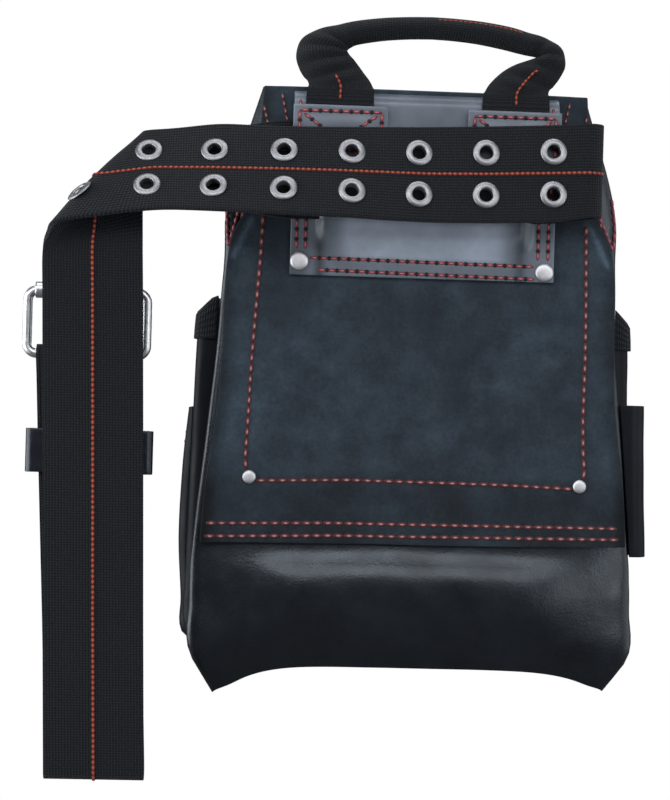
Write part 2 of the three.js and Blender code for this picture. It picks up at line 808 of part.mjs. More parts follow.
addPiece('buckle_frame', joinRings(frameRings, true), steelLook);

// Tube along X, used for the roller and the prong rings.
function sleeve(centreX, centreZ, innerRadius, outerRadius, half) {
  const tube = closedLathe(
    [
      { radius: innerRadius, height: half },
      { radius: innerRadius, height: -half },
      { radius: outerRadius, height: -half },
      { radius: outerRadius, height: half },
    ],
    eyeletSides,
  );
  return aimed(tube, new THREE.Vector3(centreX, buckleDepth, centreZ), new THREE.Vector3(1, 0, 0));
}
const boreRadius = wire / Math.cos(Math.PI / eyeletSides) + turnGap;
addPiece('buckle_roller', sleeve(buckleX, rollerZ, boreRadius, rollerRadius, rollerHalf), steelLook);

// Prongs that turn on the base bar and rest on the far side of the roller.
const prongLift = rollerRadius + turnGap + prongRadius;
const prongWay = new THREE.Vector3(0, prongLift, rollerZ - baseBarZ).normalize();
[
  { name: 'buckle_prong_left', shift: -prongApart },
  { name: 'buckle_prong_right', shift: prongApart },
].forEach((prong) => {
  const x = buckleX + prong.shift;
  const eye = sleeve(x, baseBarZ, boreRadius, boreRadius + prongRadius, prongWidth / 2);
  const start = boreRadius + prongRadius / 2;
  const rod = new THREE.CylinderGeometry(prongRadius * 0.8, prongRadius, prongLength - start, eyeletSides);
  const middle = new THREE.Vector3(x, buckleDepth, baseBarZ).addScaledVector(prongWay, (prongLength + start) / 2);
  const solid = toSolid(eye).add(toSolid(aimed(rod, middle, prongWay)));
  addPiece(prong.name, toGeometry(solid), steelLook);
});

// Keeper loop.
const keeperOuterDepth = keeperInnerDepth + keeperLeather;
const keeperShape = new THREE.Shape([
  new THREE.Vector2(keeperX - keeperHalf, keeperMiddle - keeperOuterDepth),
  new THREE.Vector2(keeperX + keeperHalf, keeperMiddle - keeperOuterDepth),
  new THREE.Vector2(keeperX + keeperHalf, keeperMiddle + keeperOuterDepth),
  new THREE.Vector2(keeperX - keeperHalf, keeperMiddle + keeperOuterDepth),
]);
keeperShape.holes.push(
  new THREE.Path([
    new THREE.Vector2(keeperX - keeperInnerHalf, keeperMiddle - keeperInnerDepth),
    new THREE.Vector2(keeperX - keeperInnerHalf, keeperMiddle + keeperInnerDepth),
    new THREE.Vector2(keeperX + keeperInnerHalf, keeperMiddle + keeperInnerDepth),
    new THREE.Vector2(keeperX + keeperInnerHalf, keeperMiddle - keeperInnerDepth),
  ]),
);
const keeperLoop = new THREE.ExtrudeGeometry(keeperShape, { depth: keeperHeight, bevelEnabled: false });
keeperLoop.translate(0, 0, keeperTop - keeperHeight);
addPiece('belt_keeper', keeperLoop, webbingLook);

// Domed rivet heads.
rivetRows.forEach((rivet) => {
  const dome = new THREE.LatheGeometry(
    [
      new THREE.Vector2(0, 0),
      new THREE.Vector2(rivet.radius, 0),
      new THREE.Vector2(rivet.radius, rivetHeight * 0.4),
      new THREE.Vector2(rivet.radius * 0.75, rivetHeight * 0.85),
      new THREE.Vector2(0, rivetHeight),
    ],
    rivetSides,
  );
  const place = new THREE.Vector3(rivet.x, panelFace - rivet.out - seatGap, bagTop - rivet.below);
  addPiece(rivet.name, aimed(dome, place, new THREE.Vector3(0, -1, 0)), steelLook);
});

export default bag;
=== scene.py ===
import math
from bisect import bisect_left

import bmesh
import bpy
from bpy.props import FloatProperty, FloatVectorProperty, PointerProperty
from mathutils import Matrix, Vector, noise


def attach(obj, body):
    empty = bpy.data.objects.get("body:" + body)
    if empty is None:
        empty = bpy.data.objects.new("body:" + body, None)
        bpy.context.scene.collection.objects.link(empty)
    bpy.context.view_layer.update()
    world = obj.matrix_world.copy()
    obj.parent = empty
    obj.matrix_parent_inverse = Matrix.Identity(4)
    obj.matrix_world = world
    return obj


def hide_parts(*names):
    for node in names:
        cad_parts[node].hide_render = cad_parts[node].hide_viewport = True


bl_info = {
    "name": "Nail bag",
    "version": (1, 0, 0),
    "blender": (4, 5, 0),
    "location": "View3D > Sidebar > Nail bag",
    "description": "Leather nail bag with a webbing belt, built on its solid frame",
    "category": "Add Mesh",
}

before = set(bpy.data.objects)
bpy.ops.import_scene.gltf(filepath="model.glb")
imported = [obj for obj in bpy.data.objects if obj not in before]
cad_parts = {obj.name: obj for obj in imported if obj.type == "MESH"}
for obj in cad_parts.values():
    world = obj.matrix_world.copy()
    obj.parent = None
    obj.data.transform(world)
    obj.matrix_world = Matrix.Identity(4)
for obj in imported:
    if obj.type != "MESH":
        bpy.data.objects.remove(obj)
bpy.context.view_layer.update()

MM = 0.001
RIGHT = Vector((1, 0, 0))
FORWARD = Vector((0, 1, 0))
BACKWARD = Vector((0, -1, 0))


def table(columns, *rows):
    """Rows of a table, each with the names of its columns."""
    return [dict(zip(columns.split(), row)) for row in rows]


# Levels and sheets of the bag, in millimetres, as its solids have them.
BAG_TOP = -26.4
PANEL_FACE = -0.3
POUCH_BACK = 2.2
LEATHER = 2.2
PANEL_SHEET = 2.0
THIN_LEATHER = 1.9
PATCH_LEATHER = 1.8
TAPE = 1.3
WEBBING = 2.6
BELT_HALF = 25.0
# A sheet's thickness lies behind its face, or on both sides of its middle.
BEHIND = -1
BOTH_SIDES = 0

MAIN_ROWS = table(
    "below half front corner swell",
    (0, 84, 40, 0, 0),
    (16, 89, 43, 0, 0),
    (42, 97, 46, 0, 0),
    (65, 101.5, 48, 0, 0),
    (86, 101.5, 50, 0, 0),
    (131, 103, 52, 0, 0),
    (172, 106.8, 53, 0, 0),
    (235.4, 112.6, 54, 0, 0),
    (250, 113.8, 55, 0, 4.2),
    (266, 114, 55, 0.5, 4.8),
    (287, 113.6, 55, 4, 2.2),
    (298, 101.5, 52, 14.5, -2),
)
MIDDLE_ROWS = table(
    "below half front corner",
    (111.5, 114, 75, 0),
    (136, 115, 78, 0),
    (180, 116, 80, 0),
    (250, 117.4, 81, 0),
    (282, 117, 80, 2),
    (295, 106, 75, 2),
)
FRONT_ROWS = table(
    "below half front corner",
    (174, 118.5, 96, 0),
    (200, 121, 101, 0),
    (236, 122, 104, 0),
    (268, 120, 103.5, 1),
    (284, 119.5, 102, 2),
    (292, 111, 96, 2),
)
MAIN_PLAN = {"back": POUCH_BACK, "shoulder": 10, "back_power": 5, "front_power": 4.5}
MIDDLE_PLAN = {"back": 26, "shoulder": 9, "back_power": 4, "front_power": 3.4}
FRONT_PLAN = {"back": 46, "shoulder": 9, "back_power": 4, "front_power": 3.4}
# Gaps of a pocket's ends and floor and of the tape's ends from the pouch behind them, and how far the
# floors rise to their middle seam.
POCKET_GAP = 0.4
POCKET_FLOOR_GAP = 0.8
TAPE_GAP = 1.4
MAIN_FLOOR_RISE = 3
POCKET_FLOOR_RISE = 2
# Tape over the middle pocket's mouth, from its outer edge over the mouth to its inner edge.
TAPE_ROWS = table(
    "grow below",
    (1.1, 130),
    (1.2, 122),
    (1.1, 113),
    (0.2, 110.7),
    (-1.1, 110.3),
    (-2.5, 110.7),
    (-3.3, 113),
    (-3.3, 129.5),
)
PANEL_ROWS = table(
    "below half",
    (0.6, 83.5),
    (40, 86.5),
    (66, 92),
    (74, 96.5),
    (85, 99.2),
    (100, 100.6),
    (135, 101.4),
    (160, 102.4),
    (176, 104.2),
    (198, 107.2),
    (216, 108.8),
    (235, 109.8),
)
COVER_HALF = 68
COVER_FLAT = 2.3
COVER_ROWS = table(
    "below out",
    (3, COVER_FLAT),
    (4.6, 5.2),
    (8, 7),
    (70, 7),
    (77, 5.2),
    (83, COVER_FLAT),
    (97, COVER_FLAT),
)
HANDLE_FACE = -8.8
HANDLE_SHEET = 2.4
HANDLE_STEPS = 6
HANDLE_ROWS = table(
    "step in_x in_z out_x out_z curl depth",
    (0, 25, -71, 65, -71, 8, 0.05),
    (1, 25, -34, 65, -34, 8, 0.05),
    (2, 26, -28, 64, -28, 30, 1),
    (3, 30.5, -22, 65, -23.5, 80, 5),
    (4, 36, -16, 68, -17.5, 100, 8.5),
    (5, 41, -11.5, 69.5, -11, 120, 11),
    (6, 43.2, -9, 67.5, -3.5, 138, 13.5),
    (7, 43, -7.4, 60, 1.8, 150, 15.5),
    (8, 41.4, -6, 49.5, 5, 160, 17),
    (9, 37.5, -4.2, 39.5, 7.6, 165, 17.6),
    (10, 25, -1.8, 25.8, 9.6, 165, 17.6),
    (11, 12, -0.5, 12.2, 10.6, 165, 17.6),
    (12, 0, 0, 0, 11, 165, 17.6),
)
PATCH_CENTRE = 44.5
PATCH_HALF = 24
PATCH_TOP = BAG_TOP - 8
PATCH_TALL = 40
PATCH_LOW = 3
PATCH_FACE = HANDLE_FACE - HANDLE_SHEET / 2 - 0.3
PATCH_SHEET = 2
PATCH_INSET = 3.2

LOOP_OUT = 123
LOOP_BACK = 7
LOOP_FRONT = 24
LOOP_CORNER = 8
LOOP_TAPER = 3
LOOP_TOP = BAG_TOP - 159
LOOP_TALL = 79

# Belt path, from the hidden tail to the flap at the buckle.
BELT_STEP = 2.0
TAIL_DEPTH = -3.7
FOLD_END = 82.5
FOLD_LEVEL = -68
# The tail's cut end slants along the crease that it lies behind.
TAIL_TIP = (Vector((-144.6, -5.5, -57.5)), Vector((-150, -28.4, -93)))
TAIL_ROWS = table(
    "x y z tilt",
    (-106, -15, -72.3, 33),
    (-92, -14, -72, 28),
    (-78, -7.5, -70.6, 10),
    (-69, TAIL_DEPTH, -70, 0),
    (0, TAIL_DEPTH, -69.4, 0),
    (FOLD_END, TAIL_DEPTH, FOLD_LEVEL, 0),
)
STRETCH_ROWS = table(
    "x y z tilt",
    (FOLD_END, -17.5, FOLD_LEVEL, 0),
    (64.7, -18.3, -69.2, 7),
    (30, -19.2, -71, 9),
    (0, -20.8, -72.2, 13),
    (-20, -22.8, -72.5, 17),
    (-45, -25, -72.7, 22),
    (-72, -26, -73, 24.5),
    (-107, -23.6, -73.4, 30),
    (-127, -21, -73.8, 33),
    (-138, -20, -74, 33),
)
CREASE_UPPER = Vector((-144.6, -6.6, -54.2))
CREASE_LOWER = Vector((-186.8, -36.4, -103))
CREASE_RADIUS = 2.6
STRAP_ROWS = table(
    "x y z",
    (-167.2, -20, -113),
    (-166.5, -19, -134),
    (-164.3, -20, -205),
    (-161.6, -20, -300),
    (-159.2, -20, -376),
)
RETURN_ROWS = table(
    "x y z",
    (-159.2, -12, -376),
    (-162.6, -12, -300),
    (-167, -12, -216),
    (-168.8, -12, -179),
    (-169.5, -12, -167.6),
)
FLAP_ROWS = table(
    "x y z",
    (-169.5, -3.8, -167.6),
    (-169.1, -5.4, -175),
    (-168.4, -8.6, -186),
    (-167.4, -8.8, -200),
)
EYELET_PLACES = [63.6, 29.2, -5, -39, -72.9, -107.6, -140.6]
EYELET_ROW = 11
EYELET_HOLE = 4.5
# The crease's eyelet: how far along the crease, how far round it in degrees, and how deep it is sunk.
CREASE_EYELET = (0.67, 48, 2.0)
BUCKLE_X = -169.5
BUCKLE_DEPTH = -7.9
BUCKLE_HALF = 30
BUCKLE_CORNER = 5
BUCKLE_WIRE = 2.45
BASE_BAR = -167.6
ROLLER_BAR = -135.5
PRONG_APART = 11
# Half width and half height of the belt's slots for the prongs, and the depth that they lie behind.
PRONG_SLOT = 3.9
SLOT_TALL = 8.5
SLOT_DEPTH = -14
PRONG_RING = 3.95
PRONG_REACH = 37
PRONG_LIFT = 6.6
KEEPER_X = -166.4
KEEPER_Y = -12
KEEPER_HALF = 31
KEEPER_DEEP = 2.75
KEEPER_CORNER = 2.4
KEEPER_TOP = -205.2
KEEPER_TALL = 22
RIVETS = table(
    "node x below out radius",
    ("rivet_cover_left", -63.2, 90, COVER_FLAT, 4.7),
    ("rivet_cover_right", 63, 92, COVER_FLAT, 4.7),
    ("rivet_panel_left", -85.6, 201, 0, 3.5),
    ("rivet_panel_right", 84.8, 201.6, 0, 3.5),
)

# Seams sewn through the back panel, as places across it and levels below the bag's top edge.
PANEL_SEAMS = [
    [(-82.2, 67), (-82.8, 85), (-84.9, 121), (-86.2, 144), (-87, 172), (-87.9, 192), (-87.2, 197)],
    [(84.5, 67), (85.5, 105), (85.9, 136), (85.7, 167), (86.2, 183), (87.2, 194), (86.6, 198)],
    [(-82, 202.8), (-34, 201.3), (44, 201.8), (81.5, 203)],
    [(-107, 225.2), (-43, 223.6), (105, 222.9)],
    [(-107.5, 231.9), (-43, 230), (106, 228.6)],
    [(-74.3, 4), (-71.5, 17), (-68, 30)],
    [(74.3, 4), (71.5, 17), (68, 30)],
    [(-83.4, 11), (-81.1, 20), (-78, 34)],
    [(83.4, 11), (81.1, 20), (78, 34)],
]
# The panel's seams above this level are finer by this share.
FINE_ABOVE = 40
FINE_SHARE = 0.66
COVER_SEAMS = [
    [(-58, 88.1), (57.5, 89.2)],
    [(-54, 94.2), (58.5, 95.6)],
    [(-65, 8), (-65, 84)],
    [(-60.3, 8), (-60.3, 84)],
    [(59.4, 8), (59.4, 86)],
    [(64.6, 8), (64.6, 86)],
]
COVER_PITCH = 5.1
COVER_THREAD = 1.7
# Close rows that gather the gussets under the belt.
GUSSET_SEAMS = [
    [(-101, 60), (-99.9, 77), (-99.2, 83)],
    [(-93.5, 60), (-97.2, 75), (-99.2, 83)],
    [(98.5, 52), (100.4, 66), (99.9, 78)],
    [(91.5, 62), (95.8, 71), (99.6, 79)],
]
# The close rows' pitch in leather stitches, then the double rows down the gussets, as places in a count
# round the pouch, and the rows under the front pocket's mouth.
GUSSET_PITCH = 0.75
GUSSET_AROUND = 400
GUSSET_PLACES = (74, 326, 80, 320)
MOUTH_SEAMS = (6, 11)
# Seams of the handle's legs and crown: side, first and last step, thread and roll to the side.
HANDLE_SEAMS = [
    (1, 1, 5.2, 1.5, 0.12),
    (-1, 1, 3.4, 1.5, 0.12),
    (1, 8.4, 12, 0.8, 0.11),
]
# The belt's thread in leather threads, a stitch's length in pitches, the heights of a stitch and of a
# needle hole in thread widths, and how far stitches stand off leather and webbing.
BELT_THREAD = 0.74
STITCH_LENGTH = 1.12
STITCH_LIFT = 0.32
HOLE_LIFT = 0.38
LEATHER_OFF = 0.1
WEBBING_OFF = 0.05
# Lines where the panel folds over the gussets, which carry a painted highlight.
PANEL_CREASES = [
    [(-88, 69), (-90.3, 73.9), (-93.7, 81.1), (-97, 88.4)],
    [(85, 67), (87.7, 70), (91, 76), (93.8, 82.2), (96.5, 87.7)],
]

# The camera that was fitted to the photograph, in metres, degrees and pixels.
CAMERA_AIM = Vector((-0.0427, 0, -0.1869))
CAMERA_YAW = -3.1
CAMERA_ROLL = 1.65
CAMERA_AWAY = 1.0
PHOTO_TALL = 800
PHOTO_FOCAL = 1950
SENSOR = 36
FLOOR_LEVEL = -1.0
FLOOR_HALF = 2.2
LIGHT_AIM = Vector((-0.03, 0.0, -0.18))
LIGHTS = [
    ("key", (-0.25, -1.25, 0.62), (1.7, 0.55), 15),
    ("fill", (1.05, -1.3, 0.1), (0.7, 1.0), 8),
    ("top", (0.0, -0.15, 1.1), (1.3, 0.6), 9),
    ("left side", (-1.1, -0.2, -0.15), (1.2, 1.0), 18),
    ("right side", (1.1, -0.15, -0.15), (0.9, 1.0), 4),
    ("pockets", (0.15, 1.5, 0.35), (1.5, 0.9), 14),
]
# The white that the camera sees behind the bag, and the softer light that falls on it.
SEEN_WORLD = ((1, 1, 1, 1), 1.0)
SOFT_WORLD = ((0.95, 0.97, 1, 1), 0.16)


def length(name, description, default):
    return FloatProperty(name=name, description=description, default=default, unit="LENGTH")


def tint(name, description, *default):
    return FloatVectorProperty(name=name, description=description, default=default, size=3, subtype="COLOR")


class NailBagSizes(bpy.types.PropertyGroup):
    """Sizes of the fine work on the bag."""

    leather_stitch: length("Leather stitch", "Pitch of the stitches in leather", 0.0055)
    belt_stitch: length("Belt stitch", "Pitch of the stitches along the belt", 0.00265)
    thread: length("Thread", "Width of the sewing thread", 0.0025)
    needle_hole: length("Needle hole", "Width of the needle holes in the cover", 0.0024)
    slump: length("Slump", "How far the soft leather wanders from its flat form", 0.0011)


class NailBagColours(bpy.types.PropertyGroup):
    """Colours of the bag's finishes."""

    gloss: tint("Gloss leather", "Smooth black leather", 0.0042, 0.0051, 0.007)
    # The cover's light grey is partly its own colour and partly painted reflection of the light that its
    # glossy face catches.
    cover: tint("Cover leather", "Greyed leather of the tunnel cover", 0.092, 0.106, 0.13)
    suede: tint("Suede", "Blue-black nap of the back panel", 0.0142, 0.0226, 0.0335)
    webbing: tint("Webbing", "Woven belt and handle", 0.0048, 0.0067, 0.0098)
    belt_thread: tint("Belt thread", "Orange-red thread on the belt and handle", 0.155, 0.017, 0.0085)
    panel_thread: tint("Panel thread", "Deep red thread on the suede", 0.066, 0.0105, 0.015)
    cover_thread: tint("Cover thread", "Muted red thread on the cover and gussets", 0.16, 0.021, 0.032)
    steel: tint("Steel", "Buckle and rivets", 0.56, 0.57, 0.6)
    eyelet: tint("Eyelet", "Greyer plating of the eyelets", 0.25, 0.256, 0.276)


def sizes():
    return bpy.context.scene.nail_bag_sizes


def colours():
    return bpy.context.scene.nail_bag_colours


# Reading the tables.


def between(rows, column, value):
    """One row of a table at a value of its leading column, straight between its neighbours."""
    i = 0
    step = 1 if rows[-1][column] > rows[0][column] else -1
    while i < len(rows) - 2 and (rows[i + 1][column] - value) * step < 0:
        i += 1
    share = (value - rows[i][column]) / (rows[i + 1][column] - rows[i][column])
    return {key: rows[i][key] + (rows[i + 1][key] - rows[i][key]) * share for key in rows[i]}


def eased(rows, column, value):
    """One row of a table on a smooth curve through its rows."""
    i = 0
    while i < len(rows) - 2 and rows[i + 1][column] < value:
        i += 1
    before = rows[max(i - 1, 0)]
    start = rows[i]
    end = rows[i + 1]
    after = rows[min(i + 2, len(rows) - 1)]
    span = end[column] - start[column]
    share = (value - start[column]) / span
    square, cube = share ** 2, share ** 3
    found = {}
    for key in start:
        rise_in = (end[key] - before[key]) / max(end[column] - before[column], 1e-6) * span
        rise_out = (after[key] - start[key]) / max(after[column] - start[column], 1e-6) * span
        found[key] = (
            (2 * cube - 3 * square + 1) * start[key]
            + (cube - 2 * square + share) * rise_in
            + (3 * square - 2 * cube) * end[key]
            + (cube - square) * rise_out
        )
    return found


def ease(low, high, value):
    """Smooth step from 0 at the low value to 1 at the high one."""
    share = min(max((value - low) / (high - low), 0), 1)
    return share * share * (3 - 2 * share)


def plateau(rise, full, fade, end, value):
    """0 up to the first value, 1 from the second to the third, and 0 again past the last."""
    return ease(rise, full, value) * (1 - ease(fade, end, value))


def hill(value, middle, width):
    """Smooth hill of height 1 about a middle value."""
    return math.exp(-((value - middle) / width) ** 2)


def wander(point, scale, seed):
    """Smooth random number about zero for a point in millimetres."""
    return noise.noise(Vector(point) / scale + Vector((seed, seed * 1.7, seed * 0.3)))


# Lines of points.


class Run:
    """Distances along a line of points."""

    def __init__(self, line):
        self.line = line
        self.sums = [0.0]
        for a, b in zip(line, line[1:]):
            self.sums.append(self.sums[-1] + (b - a).length)
        self.total = self.sums[-1]

    def find(self, distance):
        """Number of the stretch that a distance falls in, and the share of the way along it."""
        k = min(max(bisect_left(self.sums, distance) - 1, 0), len(self.sums) - 2)
        return k, (distance - self.sums[k]) / max(self.sums[k + 1] - self.sums[k], 1e-9)

    def at(self, distance):
        """Point at a distance, with the direction and the number of its stretch."""
        k, share = self.find(distance)
        return self.line[k].lerp(self.line[k + 1], share), self.line[k + 1] - self.line[k], k


def spaced(points, count, closed):
    """Points spread evenly along an outline."""
    run = Run(points + [points[0]] if closed else points)
    gaps = count if closed else count - 1
    return [run.at(run.total * i / gaps)[0] for i in range(count)]


def calmed(points, first, last):
    """Points of a line, where those from the first up to the last draw towards their neighbours."""
    calm = list(points)
    for i in range(first, last):
        calm[i] = (points[i - 1] + points[i] * 2 + points[i + 1]) / 4
    return calm


def arc(x, y, radius, start, turn, steps):
    """Points on part of a circle, from one angle in degrees through a turn."""
    angles = [math.radians(start + turn * i / steps) for i in range(steps + 1)]
    return [Vector((x + radius * math.cos(angle), y + radius * math.sin(angle))) for angle in angles]


def rounded_frame(x, y, wide, tall, corner, steps):
    """Points round a frame with round corners, from its middle and its half width and height."""
    points = []
    for side_x, side_y, start in ((1, -1, -90), (1, 1, 0), (-1, 1, 90), (-1, -1, 180)):
        points += arc(x + side_x * (wide - corner), y + side_y * (tall - corner), corner, start, 90, steps)
    return points


# Making pieces.


def mesh_of(name, bm):
    """A mesh made of a bmesh, which is then freed."""
    mesh = bpy.data.meshes.new(name)
    bm.to_mesh(mesh)
    bm.free()
    return mesh


def in_scene(name, data):
    """A new object in the scene."""
    made = bpy.data.objects.new(name, data)
    bpy.context.scene.collection.objects.link(made)
    return made


def new_piece(name, bm, finishes, replaces=(), tone=None, body="bag"):
    """Turns a bmesh in millimetres into a finished piece that rides on a body.

    The tone of a place is how much lighter or darker it is than the rest of its piece.
    """
    if tone:
        layer = bm.verts.layers.float.new("tone")
        for vert in bm.verts:
            vert[layer] = tone(vert.co)
    bmesh.ops.scale(bm, vec=(MM, MM, MM), verts=bm.verts)
    mesh = mesh_of(name, bm)
    for face in mesh.polygons:
        face.use_smooth = True
    piece = in_scene(name, mesh)
    for finish in finishes.split():
        mesh.materials.append(finish_named(finish))
    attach(piece, body)
    if replaces:
        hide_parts(*replaces)
    return piece


def grid(across, along, place, scale_u=1.0, scale_v=1.0):
    """A grid whose vertices are put in place by their share of the way across and along."""
    bm = bmesh.new()
    layer = bm.loops.layers.uv.new("cloth")
    bmesh.ops.create_grid(bm, x_segments=across, y_segments=along, size=0.5)
    shares = {vert: (vert.co.x + 0.5, vert.co.y + 0.5) for vert in bm.verts}
    for face in bm.faces:
        for loop in face.loops:
            share = shares[loop.vert]
            loop[layer].uv = (share[0] * scale_u, share[1] * scale_v)
    for vert, share in shares.items():
        vert.co = place(min(max(share[0], 0), 1), min(max(share[1], 0), 1))
    return bm


def facing(bm, way):
    """Turns a sheet's faces to one side."""
    bmesh.ops.recalc_face_normals(bm, faces=bm.faces)
    if sum(face.normal.dot(way) * face.calc_area() for face in bm.faces) < 0:
        bmesh.ops.reverse_faces(bm, faces=bm.faces)
    return bm


def merged(bm, distance=0.001):
    """Joins doubled vertices and turns the faces outwards."""
    bmesh.ops.remove_doubles(bm, verts=bm.verts, dist=distance)
    bmesh.ops.recalc_face_normals(bm, faces=bm.faces)
    return bm


def thicken(piece, thickness, offset, rim, levels=0):
    """Gives a sheet its thickness, then softens its rim."""
    shell = piece.modifiers.new("sheet", "SOLIDIFY")
    shell.thickness = thickness * MM
    shell.offset = offset
    shell.use_even_offset = True
    shell.use_quality_normals = True
    edge = piece.modifiers.new("rim", "BEVEL")
    edge.width = rim * MM
    edge.segments = 3
    edge.profile = 0.5
    edge.limit_method = "ANGLE"
    edge.angle_limit = math.radians(50)
    if levels:
        smooth = piece.modifiers.new("smooth", "SUBSURF")
        smooth.levels = levels
        smooth.render_levels = levels


# Finishes.


class Finish:
    """A material under construction, with its shader."""

    def __init__(self, name, colour, roughness, **sockets):
        self.material = bpy.data.materials.new(name)
        self.material.use_nodes = True
        self.tree = self.material.node_tree
        self.shader = self.tree.nodes["Principled BSDF"]
        self.shader.inputs["Base Color"].default_value = (*colour, 1)
        self.shader.inputs["Roughness"].default_value = roughness
        for socket, value in sockets.items():
            self.shader.inputs[socket.replace("_", " ")].default_value = value
        self.space = self.tree.nodes.new("ShaderNodeTexCoord").outputs["Object"]
        self.normal = None

    def link(self, start, end):
        self.tree.links.new(start, end)

    def node(self, kind, inputs=None, **settings):
        made = self.tree.nodes.new(kind)
        for key, value in settings.items():
            setattr(made, key, value)
        for socket, value in (inputs or {}).items():
            made.inputs[socket].default_value = value
        return made

    def noise(self, scale, detail=4.0, rough=0.55):
        made = self.node("ShaderNodeTexNoise", {"Scale": scale, "Detail": detail, "Roughness": rough})
        self.link(self.space, made.inputs["Vector"])
        return made.outputs["Fac"]

    def cells(self, scale):
        made = self.node("ShaderNodeTexVoronoi", {"Scale": scale})
        self.link(self.space, made.inputs["Vector"])
        return made.outputs["Distance"]

    def ramp(self, value, *stops):
        made = self.node("ShaderNodeValToRGB")
        for element, (place, colour) in zip(made.color_ramp.elements, (stops[0], stops[-1])):
            element.position = place
            element.color = (*colour, 1)
        for place, colour in stops[1:-1]:
            made.color_ramp.elements.new(place).color = (*colour, 1)
        self.link(value, made.inputs["Fac"])
        return made.outputs["Color"]

    def spread(self, value, low, high):
        """Spreads the middle of a noise's values from a low number to a high one."""
        made = self.node(
            "ShaderNodeMapRange", {"From Min": 0.3, "From Max": 0.7, "To Min": low, "To Max": high}
        )
        self.link(value, made.inputs["Value"])
        return made.outputs["Result"]

    def sum(self, first, second, operation="ADD"):
        made = self.node("ShaderNodeMath", operation=operation)
        for socket, value in zip(made.inputs, (first, second)):
            if isinstance(value, (int, float)):
                socket.default_value = value
            else:
                self.link(value, socket)
        return made.outputs["Value"]

    def blend(self, total, *parts):
        """A value with other values added to it, each by its weight."""
        for value, weight in parts:
            total = self.sum(total, self.sum(value, weight, "MULTIPLY"))
        return total

    def paint(self, colour):
        """Colours the surface, by the tone of the piece's own places."""
        tone = self.node("ShaderNodeAttribute", attribute_name="tone").outputs["Fac"]
        toned = self.node("ShaderNodeVectorMath", operation="SCALE")
        self.link(colour, toned.inputs[0])
        self.link(self.sum(tone, 1.0), toned.inputs["Scale"])
        self.link(toned.outputs["Vector"], self.shader.inputs["Base Color"])

    def polish(self, value):
        self.link(value, self.shader.inputs["Roughness"])

    def bump(self, height, distance, strength):
        made = self.node("ShaderNodeBump", {"Strength": strength, "Distance": distance})
        self.link(height, made.inputs["Height"])
        if self.normal:
            self.link(self.normal, made.inputs["Normal"])
        self.normal = made.outputs["Normal"]
        self.link(self.normal, self.shader.inputs["Normal"])


def shade(colour, share):
    return tuple(min(part * share, 1) for part in colour)


def smooth_leather(name, colour, roughness, grain, shine):
    """Dressed leather with pores, long creases and uneven polish."""
    finish = Finish(
        name, colour, roughness, Coat_Weight=shine * 0.5, Coat_Roughness=0.24, Specular_IOR_Level=shine,
        Specular_Tint=(0.74, 0.86, 1, 1), Coat_Tint=(0.9, 0.95, 1, 1),
    )
    cloud = finish.noise(28, 5, 0.6)
    finish.paint(
        finish.ramp(cloud, (0.3, shade(colour, 0.72)), (0.55, colour), (0.75, shade(colour, 1.45)))
    )
    finish.polish(finish.spread(finish.noise(65, 4, 0.6), roughness - 0.05, roughness + 0.12))
    finish.bump(finish.noise(36, 3, 0.5), 0.0022, 0.22 * grain)
    finish.bump(finish.cells(820), 0.0002, 0.16 * grain)
    finish.bump(finish.noise(2300, 2, 0.5), 0.00008, 0.2 * grain)
    return finish.material


def nap_leather(name, colour):
    """Suede nap, brushed unevenly."""
    finish = Finish(
        name, colour, 0.82, Sheen_Weight=0.16, Sheen_Roughness=0.45, Specular_IOR_Level=0.2,
        Sheen_Tint=(0.55, 0.68, 0.8, 1),
    )
    cloud = finish.noise(17, 3, 0.55)
    brushed = finish.noise(75, 6, 0.7)
    speck = finish.noise(520, 3, 0.6)
    nap = finish.blend(finish.sum(cloud, 0.5, "MULTIPLY"), (brushed, 0.34), (speck, 0.16))
    olive = (colour[0] * 1.5, colour[1] * 1.45, colour[2] * 1.36)
    finish.paint(
        finish.ramp(
            nap,
            (0.36, shade(colour, 0.45)),
            (0.47, shade(colour, 0.84)),
            (0.56, olive),
            (0.66, shade(olive, 1.6)),
        )
    )
    finish.polish(finish.spread(cloud, 0.72, 0.95))
    finish.bump(finish.noise(70, 4, 0.6), 0.0012, 0.2)
    finish.bump(speck, 0.0004, 0.4)
    return finish.material


def woven(name, colour, across, along, pale=1.0):
    """Webbing with ribs along its length and picks across them."""
    colour = shade(colour, pale)
    finish = Finish(name, colour, 0.8, Specular_IOR_Level=0.16, Sheen_Weight=0.05, Sheen_Roughness=0.5)
    cloth = finish.node("ShaderNodeUVMap", uv_map="cloth").outputs["UV"]

    def ribs(direction, scale):
        made = finish.node(
            "ShaderNodeTexWave", {"Scale": scale, "Distortion": 0.6, "Detail": 1.0},
            wave_type="BANDS", bands_direction=direction, wave_profile="SIN",
        )
        finish.link(cloth, made.inputs["Vector"])
        return made.outputs["Fac"]

    weave = finish.sum(ribs("X", across), ribs("Y", along), "MULTIPLY")
    fleck = finish.noise(1100, 3, 0.6)
    wear = finish.noise(60, 4, 0.6)
    # The ramp paints the weave's crowns lighter as painted highlight and its hollows darker as painted shade,
    # with random flecks and wear laid over them.
    finish.paint(
        finish.ramp(
            finish.blend(finish.sum(weave, 0.62, "MULTIPLY"), (fleck, 0.34), (wear, 0.16)),
            (0.18, shade(colour, 0.4)),
            (0.42, shade(colour, 0.85)),
            (0.68, shade(colour, 1.45)),
            (0.95, shade(colour, 2.4)),
        )
    )
    finish.polish(finish.spread(fleck, 0.7, 0.92))
    finish.bump(weave, 0.0009, 0.7)
    finish.bump(fleck, 0.0003, 0.3)
    return finish.material


